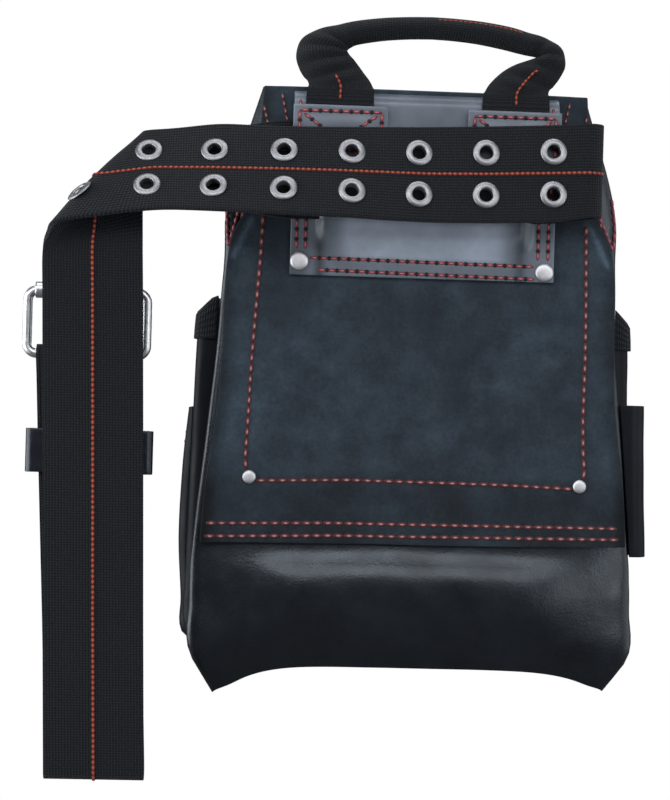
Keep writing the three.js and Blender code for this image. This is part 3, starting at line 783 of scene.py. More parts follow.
def sewing_thread(name, colour, *pale):
    """Twisted thread, with a painted highlight on each stitch's top and painted shade down its sides where it
    goes into its holes.
    """
    finish = Finish(name, colour, 0.55, Sheen_Weight=0.08, Specular_IOR_Level=0.25)
    split = finish.node("ShaderNodeSeparateXYZ")
    finish.link(finish.node("ShaderNodeUVMap", uv_map="thread").outputs["UV"], split.inputs["Vector"])
    twist = finish.noise(900, 3, 0.6)
    # Painted shade low on each stitch and a painted highlight on its top, by the stitch's height.
    finish.paint(
        finish.ramp(
            finish.blend(split.outputs["Y"], (twist, 0.1)),
            (0.6, shade(colour, 0.5)),
            (0.84, colour),
            (0.9, shade(colour, 1.3)),
            (0.96, pale),
        )
    )
    finish.bump(twist, 0.0003, 0.4)
    return finish.material


def plated_steel(name, colour, roughness):
    """Bright plated steel, faintly clouded."""
    finish = Finish(name, colour, roughness, Metallic=1.0)
    cloud = finish.noise(160, 4, 0.6)
    finish.paint(finish.ramp(cloud, (0.3, shade(colour, 0.82)), (0.5, colour), (0.7, shade(colour, 1.08))))
    finish.polish(finish.spread(finish.noise(420, 3, 0.6), roughness - 0.05, roughness + 0.1))
    finish.bump(finish.noise(900, 2, 0.5), 0.00003, 0.04)
    return finish.material


def needle_hole(name):
    """Needle hole, painted dark for the shade inside it."""
    finish = Finish(name, (0.004, 0.004, 0.005), 0.9)
    finish.paint(finish.ramp(finish.noise(800), (0.3, (0.002, 0.002, 0.003)), (0.7, (0.007, 0.006, 0.007))))
    return finish.material


# How each finish is made: its maker, its material's name, its colour and the maker's other values.
MAKERS = {
    "gloss": (smooth_leather, "gloss_leather", "gloss", 0.29, 1.6, 0.36),
    "dull": (smooth_leather, "pocket_leather", "gloss", 0.5, 0.8, 0.1),
    "cover": (smooth_leather, "cover_leather", "cover", 0.34, 0.8, 0.4),
    "suede": (nap_leather, "suede", "suede"),
    "webbing": (woven, "webbing", "webbing", 2.1, 2.4),
    "binding": (woven, "binding_tape", "webbing", 2.2, 2.0, 1.2),
    # Each thread's last three values give the colour of the painted highlight on its stitches.
    "belt_thread": (sewing_thread, "belt_thread", "belt_thread", 0.3, 0.065, 0.03),
    "panel_thread": (sewing_thread, "panel_thread", "panel_thread", 0.27, 0.15, 0.135),
    "cover_thread": (sewing_thread, "cover_thread", "cover_thread", 0.34, 0.12, 0.12),
    "hole": (needle_hole, "needle_hole", None),
    "steel": (plated_steel, "plated_steel", "steel", 0.34),
    "eyelet": (plated_steel, "eyelet_steel", "eyelet", 0.44),
    "rivet": (plated_steel, "rivet_steel", "steel", 0.5),
}
FINISHES = {}


def finish_named(name):
    """One of the bag's finishes, made when it is first asked for."""
    if name not in FINISHES:
        make, title, colour, *values = MAKERS[name]
        if colour:
            values.insert(0, tuple(getattr(colours(), colour)))
        FINISHES[name] = make(title, *values)
    return FINISHES[name]


# Pouch outlines.


def plan_middle(plan):
    """Depth where a pouch's rounded back gives way to its rounded front."""
    return plan["back"] + plan["shoulder"]


def plan_outline(row, plan, grow=0.0, samples=360):
    """Rounded-square plan of a pouch, from the middle of its back round by the right side."""
    middle = plan_middle(plan)
    half = row["half"] + grow
    back = plan["back"] - row.get("swell", 0) - grow
    points = []
    for i in range(samples):
        angle = -math.pi / 2 + 2 * math.pi * i / samples
        sine, cosine = math.sin(angle), math.cos(angle)
        behind = sine < 0
        power = 2 / (plan["back_power"] if behind else plan["front_power"])
        reach = middle - back if behind else row["front"] + grow - middle
        x = half * math.copysign(abs(cosine) ** power, cosine)
        y = middle + reach * math.copysign(abs(sine) ** power, sine)
        points.append(Vector((x, y)))
    return points


def levelled(row, outline):
    """An outline at its level on a pouch, with its corners hanging lower on the left."""
    points = []
    for p in outline:
        share = min(abs(p.x / row["half"]), 1)
        hang = row["corner"] * (1.25 if p.x < 0 else 0.85) * share ** 6
        hang *= 1 - 0.16 * ease(0.88, 1, share)
        points.append(Vector((p.x, p.y, BAG_TOP - row["below"] - hang)))
    return points


class NAILBAG_OT_main_pouch(bpy.types.Operator):
    """Main leather body with its gusset sides and the glossy band under the panel"""

    bl_idname = "nailbag.main_pouch"
    bl_label = "Main pouch"

    around = 264
    down = 72
    floor = 8

    def execute(self, context):
        slump = sizes().slump / MM
        last = MAIN_ROWS[-1]
        rings = []
        for j in range(self.down + 1):
            row = eased(MAIN_ROWS, "below", last["below"] * j / self.down)
            rings.append(levelled(row, spaced(plan_outline(row, MAIN_PLAN), self.around, True)))
        bottom = rings[-1]
        middle = (POUCH_BACK + last["front"]) / 2
        for j in range(1, self.floor + 1):
            ring = []
            for i, point in enumerate(bottom):
                partner = bottom[(self.around // 2 - i) % self.around]
                seam_x = (point.x + partner.x) / 2 * 0.98
                seam_z = (point.z + partner.z) / 2 + MAIN_FLOOR_RISE
                ring.append(point.lerp(Vector((seam_x, middle, seam_z)), j / self.floor))
            rings.append(ring)
        rows = len(rings) - 1

        def place(u, v):
            point = rings[round(v * rows)][round(u * self.around) % self.around].copy()
            below = BAG_TOP - point.z
            behind = 1 - ease(4, 14, point.y)
            swell = plateau(236, 256, 262, 296, below) * (1 - ease(60, 112, abs(point.x)))
            slack = plateau(236, 254, 262, 296, below) * ease(56, 92, abs(point.x))
            point.y += behind * (2.6 * slack - 1.6 * swell)
            rim = hill(point.y, POUCH_BACK + 4.5, 2.2) * ease(86, 110, below)
            point.x += math.copysign(1.1 * rim * ease(0.9, 0.98, abs(point.x) / 104), point.x)
            soft = ease(0, 30, below) * slump
            folds = wander(point, 55, 2.0) + 0.5 * wander(point, 21, 5.0)
            point.y += soft * folds * ease(230, 250, below)
            point.x += soft * wander(point, 60, 9.0)
            return point

        bm = merged(grid(self.around, rows, place), 0.02)
        piece = new_piece("leather_main_pouch", bm, "gloss", ["main_pouch"])
        thicken(piece, LEATHER, BEHIND, rim=0.5)
        return {"FINISHED"}


def body_front(rows, plan, below, x):
    """Depth of a pouch's front wall at one place."""
    row = between(rows, "below", below)
    middle = plan_middle(plan)
    power = plan["front_power"]
    share = min(abs(x) / row["half"], 1)
    return middle + (row["front"] - middle) * (1 - share ** power) ** (1 / power)


def mouth_droop(x, below):
    """How far the middle pocket's mouth sinks towards its sides."""
    near_mouth = min(max((130 - below) / 20, 0), 1)
    return near_mouth * (8.5 * ease(104, 116, abs(x)) - 2.5 * ease(84, 100, abs(x)))


class NAILBAG_OT_pockets(bpy.types.Operator):
    """Middle and front pockets, with the tape on the middle one's mouth"""

    bl_idname = "nailbag.pockets"
    bl_label = "Pockets"

    columns = 96
    down = 34
    floor = 6

    def execute(self, context):
        self.pocket("middle_pocket", MIDDLE_ROWS, MIDDLE_PLAN, MAIN_ROWS, MAIN_PLAN, 11.0, 0.0)
        self.pocket("front_pocket", FRONT_ROWS, FRONT_PLAN, MIDDLE_ROWS, MIDDLE_PLAN, 17.0, 8.0)
        self.binding()
        return {"FINISHED"}

    def line(self, row, plan, inner_rows, gap, grow=0.0):
        """Outline of a pocket whose two ends lie beside the pouch behind it."""
        limit = between(inner_rows, "below", row["below"])["half"] + gap
        outline = plan_outline(row, plan, grow)
        kept = [p for p in outline if p.y >= plan_middle(plan) or abs(p.x) > limit]
        return spaced(kept, self.columns + 1, False)

    def pocket(self, node, rows, plan, inner_rows, inner_plan, seed, rise):
        """One pocket, whose floor closes on the pouch behind it and whose ends may rise."""
        slump = sizes().slump / MM
        first, last = rows[0]["below"], rows[-1]["below"]
        rings = []
        for j in range(self.down + 1):
            row = eased(rows, "below", first + (last - first) * j / self.down)
            rings.append(levelled(row, self.line(row, plan, inner_rows, POCKET_GAP)))
        bottom = rings[-1]
        for j in range(1, self.floor + 1):
            share = j / self.floor
            ring = []
            for point in bottom:
                goal = min(point.y, body_front(inner_rows, inner_plan, last, point.x) + POCKET_FLOOR_GAP)
                depth = point.y + (goal - point.y) * share
                height = point.z + POCKET_FLOOR_RISE * share
                ring.append(Vector((point.x * (1 - 0.01 * share), depth, height)))
            rings.append(ring)
        count = len(rings) - 1

        def place(u, v):
            point = rings[round(v * count)][round(u * self.columns)].copy()
            soft = slump * 1.3 * math.sin(math.pi * u) ** 0.5
            point.y += soft * (wander(point, 60, seed) + 0.5 * wander(point, 24, seed + 3))
            point.z += rise * (1 - ease(0, 0.07, min(u, 1 - u))) * (1 - ease(0, 0.3, v))
            point.z -= mouth_droop(point.x, BAG_TOP - point.z)
            return point

        bm = facing(grid(self.columns, count, place), FORWARD)
        piece = new_piece(f"leather_{node}", bm, "dull", [node])
        thicken(piece, LEATHER, BEHIND, rim=0.5)

    def binding(self):
        """Tape folded over the mouth, outside, over the edge and down inside."""
        lines = []
        for turn in TAPE_ROWS:
            below = turn["below"]
            row = between(MIDDLE_ROWS, "below", below)
            outline = self.line(row, MIDDLE_PLAN, MAIN_ROWS, TAPE_GAP, turn["grow"])
            lines.append([Vector((p.x, p.y, BAG_TOP - below - mouth_droop(p.x, below))) for p in outline])
        folds = len(lines) - 1

        def place(u, v):
            spot = u * folds
            a = min(int(spot), folds - 1)
            i = round(v * self.columns)
            return lines[a][i].lerp(lines[a + 1][i], spot - a)

        bm = grid(folds * 2, self.columns, place, 2.6, 36)
        piece = new_piece("binding_middle_pocket", bm, "binding", ["pocket_binding"])
        thicken(piece, TAPE, BOTH_SIDES, rim=0.3)


# Back panel and tunnel cover.


def panel_half(below):
    return eased(PANEL_ROWS, "below", below)["half"]


def panel_depth(x, below):
    """Depth of the suede's face, with its raised hem and the slack of the leather."""
    half = panel_half(below)
    hem = 0.35 * plateau(222, 226, 231, 236, below)
    rim = 0.2 * ease(half - 7, half, abs(x))
    lie = 0.55 * wander((x, 0, BAG_TOP - below), 48, 4.0) * ease(100, 120, below)
    return PANEL_FACE + 0.25 - hem + rim + min(max(lie, -0.5), 0.2)


def hem_lift(x, below):
    """The hem runs a little higher to the right."""
    return (1.1 + x / 97) * ease(150, 232, below)


def off_line(line, x, below):
    """Distance of a place on the panel from a line of places."""
    spot = Vector((x, below))
    nearest = math.inf
    for start, end in zip(line, line[1:]):
        a, b = Vector(start), Vector(end)
        share = min(max((spot - a).dot(b - a) / (b - a).length_squared, 0), 1)
        nearest = min(nearest, (spot - a.lerp(b, share)).length)
    return nearest


def panel_tone(point):
    """Painted highlight along the folds beside the belt, and darker towards the edges and the hem."""
    x, below = point.x, BAG_TOP - point.z
    half = panel_half(min(below, PANEL_ROWS[-1]["below"]))
    # Painted highlight on the panel's turned edge where it folds over the gussets.
    fold_highlight = sum(1.5 * hill(off_line(line, x, below), 0, 1.3) for line in PANEL_CREASES)
    edge = 0.45 * (1 - ease(0, 9, half - abs(x)))
    hem = 0.44 * ease(190, 212, below)
    return fold_highlight - edge - hem


class NAILBAG_OT_back_panel(bpy.types.Operator):
    """Suede panel on the wearer's side"""

    bl_idname = "nailbag.back_panel"
    bl_label = "Back panel"

    def execute(self, context):
        top, bottom = PANEL_ROWS[0]["below"], PANEL_ROWS[-1]["below"]

        def place(u, v):
            below = top + (bottom - top) * v
            x = (2 * u - 1) * panel_half(below)
            uneven = 0.5 * wander((x, 0, 0), 40, 8.0) * ease(228, 235, below)
            return Vector((x, panel_depth(x, below), BAG_TOP - below + hem_lift(x, below) + uneven))

        bm = facing(grid(120, 130, place), BACKWARD)
        piece = new_piece("suede_back_panel", bm, "suede", ["back_panel"], panel_tone)
        thicken(piece, PANEL_SHEET, BEHIND, rim=0.6)
        return {"FINISHED"}


def cover_out(x, below):
    """How far the tunnel cover stands off the panel, flat along its sewn margins."""
    out = between(COVER_ROWS, "below", below)["out"]
    margin = ease(50, 57, abs(x)) * ease(62, 68, below)
    swell = (1 - ease(44, 54, abs(x))) * plateau(70, 79, 82, 87, below)
    out += (COVER_FLAT - out) * margin + 1.5 * swell
    out += 0.3 * wander((x, 0, below), 26, 6.0) * (1 - margin)
    return max(out, COVER_FLAT)


def belt_shadow(point):
    """Painted shadow on the leather where the belt lies over it."""
    return -0.85 * plateau(20, 26, 58, 64, BAG_TOP - point.z)


def cover_tone(point):
    """Painted shade in the valleys beside the sewn margins, a darker lower left corner, a painted highlight
    over the middle below the belt, and the belt's painted shadow.
    """
    x, below = point.x, BAG_TOP - point.z
    # Painted shade in the folds between the swelling and the sewn margins.
    valley_shade = (hill(x, -53, 3.2) + 0.8 * hill(x, 50.5, 2.8)) * ease(60, 70, below)
    corner = (1 - ease(-62, -55, x)) * ease(80, 88, below)
    # Painted highlight on the middle below the belt.
    middle_highlight = (1 - ease(36, 48, abs(x))) * plateau(64, 72, 86, 90, below)
    return 1.45 * middle_highlight - 0.72 * valley_shade - 0.55 * corner + belt_shadow(point)


class NAILBAG_OT_tunnel_cover(bpy.types.Operator):
    """Leather cover of the belt tunnel, and the patches over the handle's ends"""

    bl_idname = "nailbag.tunnel_cover"
    bl_label = "Tunnel cover"

    def execute(self, context):
        top, bottom = COVER_ROWS[0]["below"], COVER_ROWS[-1]["below"]

        def place(u, v):
            below = top + (bottom - top) * v
            x = (2 * u - 1) * COVER_HALF
            return Vector((x, PANEL_FACE - cover_out(x, below), BAG_TOP - below))

        bm = facing(grid(72, 60, place), BACKWARD)
        piece = new_piece("leather_tunnel_cover", bm, "cover", ["tunnel_cover"], cover_tone)
        thicken(piece, THIN_LEATHER, BEHIND, rim=0.5)
        self.patch("handle_patch_left", -PATCH_CENTRE)
        self.patch("handle_patch_right", PATCH_CENTRE)
        return {"FINISHED"}

    def patch(self, node, centre):
        """One patch, puffed inside its seam."""
        def place(u, v):
            x = (2 * u - 1) * PATCH_HALF
            z = PATCH_TOP - PATCH_LOW - (PATCH_TALL - PATCH_LOW) * v
            edge = min(PATCH_HALF - abs(x), PATCH_TALL * v, PATCH_TALL * (1 - v))
            puff = 0.4 * ease(4, 10, edge) + 0.25 * wander((x + centre, 0, z), 14, 3.0)
            return Vector((centre + x, PATCH_FACE - PATCH_SHEET - min(puff, 0.5) + 0.3, z))

        bm = facing(grid(30, 26, place), BACKWARD)
        piece = new_piece(f"leather_{node}", bm, "cover", [node], belt_shadow)
        thicken(piece, PATCH_LEATHER, BEHIND, rim=0.5)


# Handle and tool loop.


def handle_section(row):
    """One cross-section of the handle, as a function of the share across the webbing."""
    inner = Vector((row["in_x"], row["in_z"]))
    outer = Vector((row["out_x"], row["out_z"]))
    middle = (inner + outer) / 2
    width = (outer - inner).length
    across = (outer - inner) / width
    curl = math.radians(row["curl"])
    half = width / 2 - HANDLE_SHEET / 2 * ease(60, 110, row["curl"])
    full_width = math.sin(curl) if row["curl"] < 90 else 1
    full_depth = 1 - math.cos(curl)

    def point(share):
        angle = curl * (2 * share - 1)
        wide = half * math.sin(angle) / full_width
        deep = row["depth"] * (1 - math.cos(angle)) / full_depth
        spot = middle + across * wide
        return Vector((spot.x, HANDLE_FACE + deep, spot.y))

    return point


def handle_half(side):
    """Sections of one half of the handle, from its sewn end to the crown, as if it were on the right."""
    half = []
    for i in range(HANDLE_ROWS[-1]["step"] * HANDLE_STEPS + 1):
        row = eased(HANDLE_ROWS, "step", i / HANDLE_STEPS)
        row["curl"] = min(max(row["curl"], 8), 166)
        row["depth"] = max(row["depth"], 0.05)
        gather = 2.8 * (1 - ease(2, 5, row["step"]))
        fold = 13 * hill(row["step"], 6.5, 1.6) if side > 0 else 0
        row["in_x"] += gather + fold
        row["out_x"] -= gather
        half.append(handle_section(row))
    return half


def handle_set(point, side, step, u):
    """A point of a handle's half on its own side, with its slanting creases and the crown's lean."""
    crease = math.sin(step * 5 + u * 7) * plateau(2, 3.5, 7, 9, step)
    depth = point.y + 0.9 * crease * math.sin(math.pi * u)
    return Vector((side * point.x + 1.8 * ease(1, 6, step), depth, point.z))


class NAILBAG_OT_handle(bpy.types.Operator):
    """Carry handle of webbing, curled into a grip"""

    bl_idname = "nailbag.handle"
    bl_label = "Carry handle"

    def execute(self, context):
        right, left = handle_half(1), handle_half(-1)
        count = 2 * (len(right) - 1)

        def place(u, v):
            i = round(v * count)
            near = min(i, count - i)
            side = 1 if i < len(right) else -1
            point = (right if side > 0 else left)[near](u)
            return handle_set(point, side, near / HANDLE_STEPS, u)

        bm = grid(24, count, place, 5.0, 30.0)
        bmesh.ops.recalc_face_normals(bm, faces=bm.faces)
        piece = new_piece("webbing_handle", bm, "webbing", ["carry_handle"])
        thicken(piece, HANDLE_SHEET, BOTH_SIDES, rim=0.4, levels=1)
        return {"FINISHED"}


class NAILBAG_OT_tool_loop(bpy.types.Operator):
    """Leather sleeve on the right side"""

    bl_idname = "nailbag.tool_loop"
    bl_label = "Tool loop"

    across = 40
    down = 24

    def execute(self, context):
        plans = [self.plan(LOOP_TOP - LOOP_TALL * j / self.down) for j in range(self.down + 1)]

        def place(u, v):
            spot = plans[round(v * self.down)][round(u * self.across)]
            z = LOOP_TOP - LOOP_TALL * v
            sway = 0.6 * wander((spot.x, spot.y, z), 26, 14.0) * math.sin(math.pi * u)
            return Vector((spot.x + sway, spot.y, z))

        bm = facing(grid(self.across, self.down, place), RIGHT)
        piece = new_piece("leather_tool_loop", bm, "dull", ["tool_loop"])
        thicken(piece, THIN_LEATHER, BEHIND, rim=0.4)
        return {"FINISHED"}

    def plan(self, z):
        """Outline of the loop at one level, from the pouch's side and back to it."""
        root = between(MAIN_ROWS, "below", BAG_TOP - z)["half"] + 0.6
        turn_x = LOOP_OUT - LOOP_TAPER * (1 - (LOOP_TOP - z) / LOOP_TALL) - LOOP_CORNER
        line = [Vector((root, LOOP_BACK)), Vector((turn_x, LOOP_BACK))]
        line += arc(turn_x, LOOP_BACK + LOOP_CORNER, LOOP_CORNER, -90, 90, 8)
        line += arc(turn_x, LOOP_FRONT - LOOP_CORNER, LOOP_CORNER, 0, 90, 8)
        line.append(Vector((root, LOOP_FRONT)))
        return spaced(line, self.across + 1, False)


# Belt path.


def tilted(x, y, z, tilt=0):
    """Upper and lower edge of the belt where it runs across the bag."""
    tilt = math.radians(tilt)
    up = Vector((0, math.sin(tilt), math.cos(tilt))) * BELT_HALF
    return Vector((x, y, z)) + up, Vector((x, y, z)) - up


def hanging(x, y, z):
    """The belt's two edges where it hangs."""
    return Vector((x + BELT_HALF, y, z)), Vector((x - BELT_HALF, y, z))


CREASE_LINE = (CREASE_UPPER - CREASE_LOWER).normalized()
CREASE_BEHIND = (-RIGHT).cross(CREASE_LINE).normalized()
CREASE_OUT = CREASE_LINE.cross(CREASE_BEHIND).normalized()


def creased(angle):
    """The belt's two edges as it turns over the slanting crease."""
    shift = CREASE_OUT * CREASE_RADIUS * math.sin(angle)
    shift += CREASE_BEHIND * CREASE_RADIUS * (1 - math.cos(angle))
    return CREASE_UPPER + shift, CREASE_LOWER + shift


def half_turn(section, steps=12):
    return [section(math.pi * i / steps) for i in range(1, steps)]


def belt_sections():
    """Upper and lower edge of the belt, section by section."""
    fold_y = (TAIL_DEPTH + STRETCH_ROWS[0]["y"]) / 2
    fold_r = (TAIL_DEPTH - STRETCH_ROWS[0]["y"]) / 2
    low_x, low_y, low_z = STRAP_ROWS[-1].values()
    low_r = (RETURN_ROWS[0]["y"] - low_y) / 2
    bar_r = (FLAP_ROWS[0]["y"] - RETURN_ROWS[-1]["y"]) / 2

    def right_fold(a):
        return tilted(FOLD_END + fold_r * math.sin(a), fold_y + fold_r * math.cos(a), FOLD_LEVEL)

    def bottom_fold(a):
        return hanging(low_x, low_y + low_r * (1 - math.cos(a)), low_z - low_r * math.sin(a))

    def bar_fold(a):
        return hanging(BUCKLE_X, BUCKLE_DEPTH - bar_r * math.cos(a), BASE_BAR + bar_r * math.sin(a))

    return [
        TAIL_TIP,
        *(tilted(**row) for row in TAIL_ROWS),
        *half_turn(right_fold),
        *(tilted(**row) for row in STRETCH_ROWS),
        *(creased(0), *half_turn(creased), creased(math.pi)),
        *(hanging(**row) for row in STRAP_ROWS),
        *half_turn(bottom_fold),
        *(hanging(**row) for row in RETURN_ROWS),
        *half_turn(bar_fold),
        *(hanging(**row) for row in FLAP_ROWS),
    ]


def even_sections():
    """The belt's sections spread evenly along its length with the kinks eased, and its middle line."""
    rough = belt_sections()
    run = Run([(upper + lower) / 2 for upper, lower in rough])
    count = int(run.total / BELT_STEP)
    spots = [run.find(run.total * i / count) for i in range(count + 1)]
    edges = []
    for side in (0, 1):
        edge = [rough[k][side].lerp(rough[k + 1][side], share) for k, share in spots]
        for _ in range(3):
            edge = calmed(edge, 1, count)
        edges.append(edge)
    sections = list(zip(*edges))
    return sections, [(upper + lower) / 2 for upper, lower in sections]


def rounded_corner(sections, side, corner, rounds, reach=24):
    """How far one edge of each section draws in where the belt folds at the slanting crease."""
    straight = [pair[side] for pair in sections]
    middle = min(range(len(straight)), key=lambda i: (straight[i] - corner).length)
    edge = straight
    for _ in range(rounds):
        edge = calmed(edge, middle - reach, middle + reach)
    return [smooth - point for smooth, point in zip(edge, straight)]


def edge_rise(upper):
    """How far the belt's upper edge bows up between the bag and the crease."""
    return 2.4 * hill(upper.x, -106, 21) if upper.z > -60 else 0


def fold_rise(lower):
    """How far the belt's lower edge draws up where it folds at the bag's right side."""
    return 2.6 * ease(62, 89, lower.x)


def eyelet_seat(x, side):
    """Middle and outward direction of an eyelet on the front stretch."""
    row = between(STRETCH_ROWS, "x", x)
    tilt = math.radians(row["tilt"])
    up = Vector((0, math.sin(tilt), math.cos(tilt)))
    i = 0
    while i < len(STRETCH_ROWS) - 2 and STRETCH_ROWS[i + 1]["x"] > x:
        i += 1
    start, end = STRETCH_ROWS[i], STRETCH_ROWS[i + 1]
    run = Vector([end[key] - start[key] for key in "xyz"])
    out = run.cross(up).normalized()
    if out.y > 0:
        out = -out
    return Vector((x, row["y"], row["z"])) + up * side * EYELET_ROW, out


EYELET_SEATS = [eyelet_seat(x, side) for x in EYELET_PLACES for side in (1, -1)]


class NAILBAG_OT_belt(bpy.types.Operator):
    """Webbing belt, folded through the tunnel and down to the buckle, with its keeper"""

    bl_idname = "nailbag.belt"
    bl_label = "Belt"

    across = 26

    def execute(self, context):
        sections, middles = even_sections()
        count = len(sections) - 1
        upper_in = rounded_corner(sections, 0, CREASE_UPPER, 26)
        lower_in = rounded_corner(sections, 1, CREASE_LOWER, 20)

        def place(u, v):
            i = round(v * count)
            upper, lower = sections[i]
            up = (upper - lower).normalized()
            at_upper = upper_in[i] + up * edge_rise(upper)
            at_lower = lower_in[i] + up * fold_rise(lower)
            return upper.lerp(lower, u) + at_upper * (1 - u) ** 4 + at_lower * u ** 4

        bm = grid(self.across, count, place, 5.0, count * 0.2)
        gone = [face for face in bm.faces if self.is_open(face.calc_center_median())]
        bmesh.ops.delete(bm, geom=gone, context="FACES")
        bmesh.ops.recalc_face_normals(bm, faces=bm.faces)
        piece = new_piece("webbing_belt", bm, "webbing", ["belt"])
        thicken(piece, WEBBING, BOTH_SIDES, rim=0.35)
        flat = (2 * BELT_HALF * MM, Run(middles).total * MM)
        self.keeper()
        return {"FINISHED"}

    def is_open(self, spot):
        """Whether a place on the belt lies in an eyelet's hole or in a prong's slot."""
        for hole, out in EYELET_SEATS:
            away = spot - hole
            if away.length < EYELET_HOLE and abs(away.dot(out)) < WEBBING:
                return True
        near_bar = abs(spot.z - BASE_BAR) < SLOT_TALL and spot.y > SLOT_DEPTH
        return near_bar and abs(abs(spot.x - BUCKLE_X) - PRONG_APART) < PRONG_SLOT

    def keeper(self):
        """Leather loop round the returning layer."""
        steps = 96
        line = rounded_frame(KEEPER_X, KEEPER_Y, KEEPER_HALF, KEEPER_DEEP, KEEPER_CORNER, 6)
        line = spaced(line, steps, True)

        def place(u, v):
            spot = line[round(v * steps) % steps]
            return Vector((spot.x, spot.y, KEEPER_TOP - KEEPER_TALL * u))

        bm = merged(grid(10, steps, place), 0.01)
        piece = new_piece("leather_keeper", bm, "gloss", ["belt_keeper"])
        thicken(piece, THIN_LEATHER, BOTH_SIDES, rim=0.4)


# Metal.


def turned(bm, outline, steps, place, out):
    """Spins an outline of radius and height pairs round an axis, and sets it in place."""
    verts = [bm.verts.new((radius, 0, height)) for radius, height in outline]
    edges = [bm.edges.new(pair) for pair in zip(verts, verts[1:])]
    bmesh.ops.spin(
        bm, geom=verts + edges, cent=(0, 0, 0), axis=(0, 0, 1), angle=2 * math.pi, steps=steps, use_merge=True
    )
    whole = [vert for vert in bm.verts if not vert.tag]
    turn = Vector((0, 0, 1)).rotation_difference(out).to_matrix().to_4x4()
    bmesh.ops.transform(bm, matrix=Matrix.Translation(place) @ turn, verts=whole)
    for vert in whole:
        vert.tag = True


class NAILBAG_OT_metal_trim(bpy.types.Operator):
    """Steel eyelets along the belt, and the rivet heads"""

    bl_idname = "nailbag.metal_trim"
    bl_label = "Eyelets and rivets"

    def execute(self, context):
        self.eyelets()
        self.rivets()
        return {"FINISHED"}

    def eyelets(self):
        """Rolled steel eyelets, each with a flange on both faces of the belt."""
        face = WEBBING / 2 + 0.15
        front = [
            (3.45, 0.3), (3.6, 0.65), (4.0, 0.88), (4.8, 0.95), (5.7, 0.85),
            (6.4, 0.55), (6.8, 0.25), (6.85, 0.05), (6.6, -0.2), (4.6, -0.3),
        ]
        back = [(4.6, 0.3), (6.3, 0.2), (6.5, -0.2), (6.1, -0.6), (4.2, -0.75), (3.6, -0.5)]
        spool = [
            (3.45, 0.0),
            *((radius, face + height) for radius, height in front),
            (4.3, 0.0),
            *((radius, height - face) for radius, height in back),
            (3.45, -face * 0.7),
            (3.45, 0.0),
        ]
        bm = bmesh.new()
        for spot, out in EYELET_SEATS:
            turned(bm, spool, 36, spot, out)
        along, turn, sunk = CREASE_EYELET
        turn = math.radians(turn)
        out = CREASE_OUT * math.sin(turn) - CREASE_BEHIND * math.cos(turn)
        spot = CREASE_UPPER.lerp(CREASE_LOWER, along) + CREASE_BEHIND * CREASE_RADIUS
        spot += out * (CREASE_RADIUS + WEBBING / 2 - sunk)
        washer = [
            (3.35, 0.1), (3.4, 0.6), (3.7, 1.0), (4.4, 1.3), (5.2, 1.2),
            (6.3, 0.8), (7.0, 0.4), (7.1, 0.15), (6.9, 0.0), (3.6, 0.0), (3.35, 0.1),
        ]
        turned(bm, washer, 36, spot, out)
        nodes = [f"eyelet_{row}_{i + 1}" for i in range(len(EYELET_PLACES)) for row in ("upper", "lower")]
        new_piece("steel_eyelets", merged(bm), "eyelet", [*nodes, "eyelet_crease"])

    def rivets(self):
        """Low domed heads on the cover and the panel."""
        dome = [(0, 1.3), (0.3, 1.28), (0.6, 1.2), (0.82, 1.0), (0.96, 0.6), (1, 0.25), (0.97, 0), (0, 0)]
        bm = bmesh.new()
        for rivet in RIVETS:
            outline = [(rivet["radius"] * share, height) for share, height in dome]
            place = Vector((rivet["x"], PANEL_FACE - rivet["out"] - 0.25, BAG_TOP - rivet["below"]))
            turned(bm, outline, 32, place, BACKWARD)
        new_piece("steel_rivets", merged(bm), "rivet", [rivet["node"] for rivet in RIVETS])


def wire_mesh(points, radius, closed, taper=None):
    """Round wire along a path, as a bmesh in millimetres."""
    curve = bpy.data.curves.new("wire", "CURVE")
    curve.dimensions = "3D"
    curve.bevel_depth = radius
    curve.bevel_resolution = 6
    curve.use_fill_caps = not closed
    spline = curve.splines.new("POLY")
    spline.points.add(len(points) - 1)
    for i, point in enumerate(points):
        spline.points[i].co = (*point, 1)
        spline.points[i].radius = taper(i / (len(points) - 1)) if taper else 1
    spline.use_cyclic_u = closed
    holder = in_scene("wire", curve)
    mesh = bpy.data.meshes.new_from_object(holder.evaluated_get(bpy.context.evaluated_depsgraph_get()))
    bm = bmesh.new()
    bm.from_mesh(mesh)
    bpy.data.objects.remove(holder)
    bpy.data.curves.remove(curve)
    bpy.data.meshes.remove(mesh)
    return merged(bm)


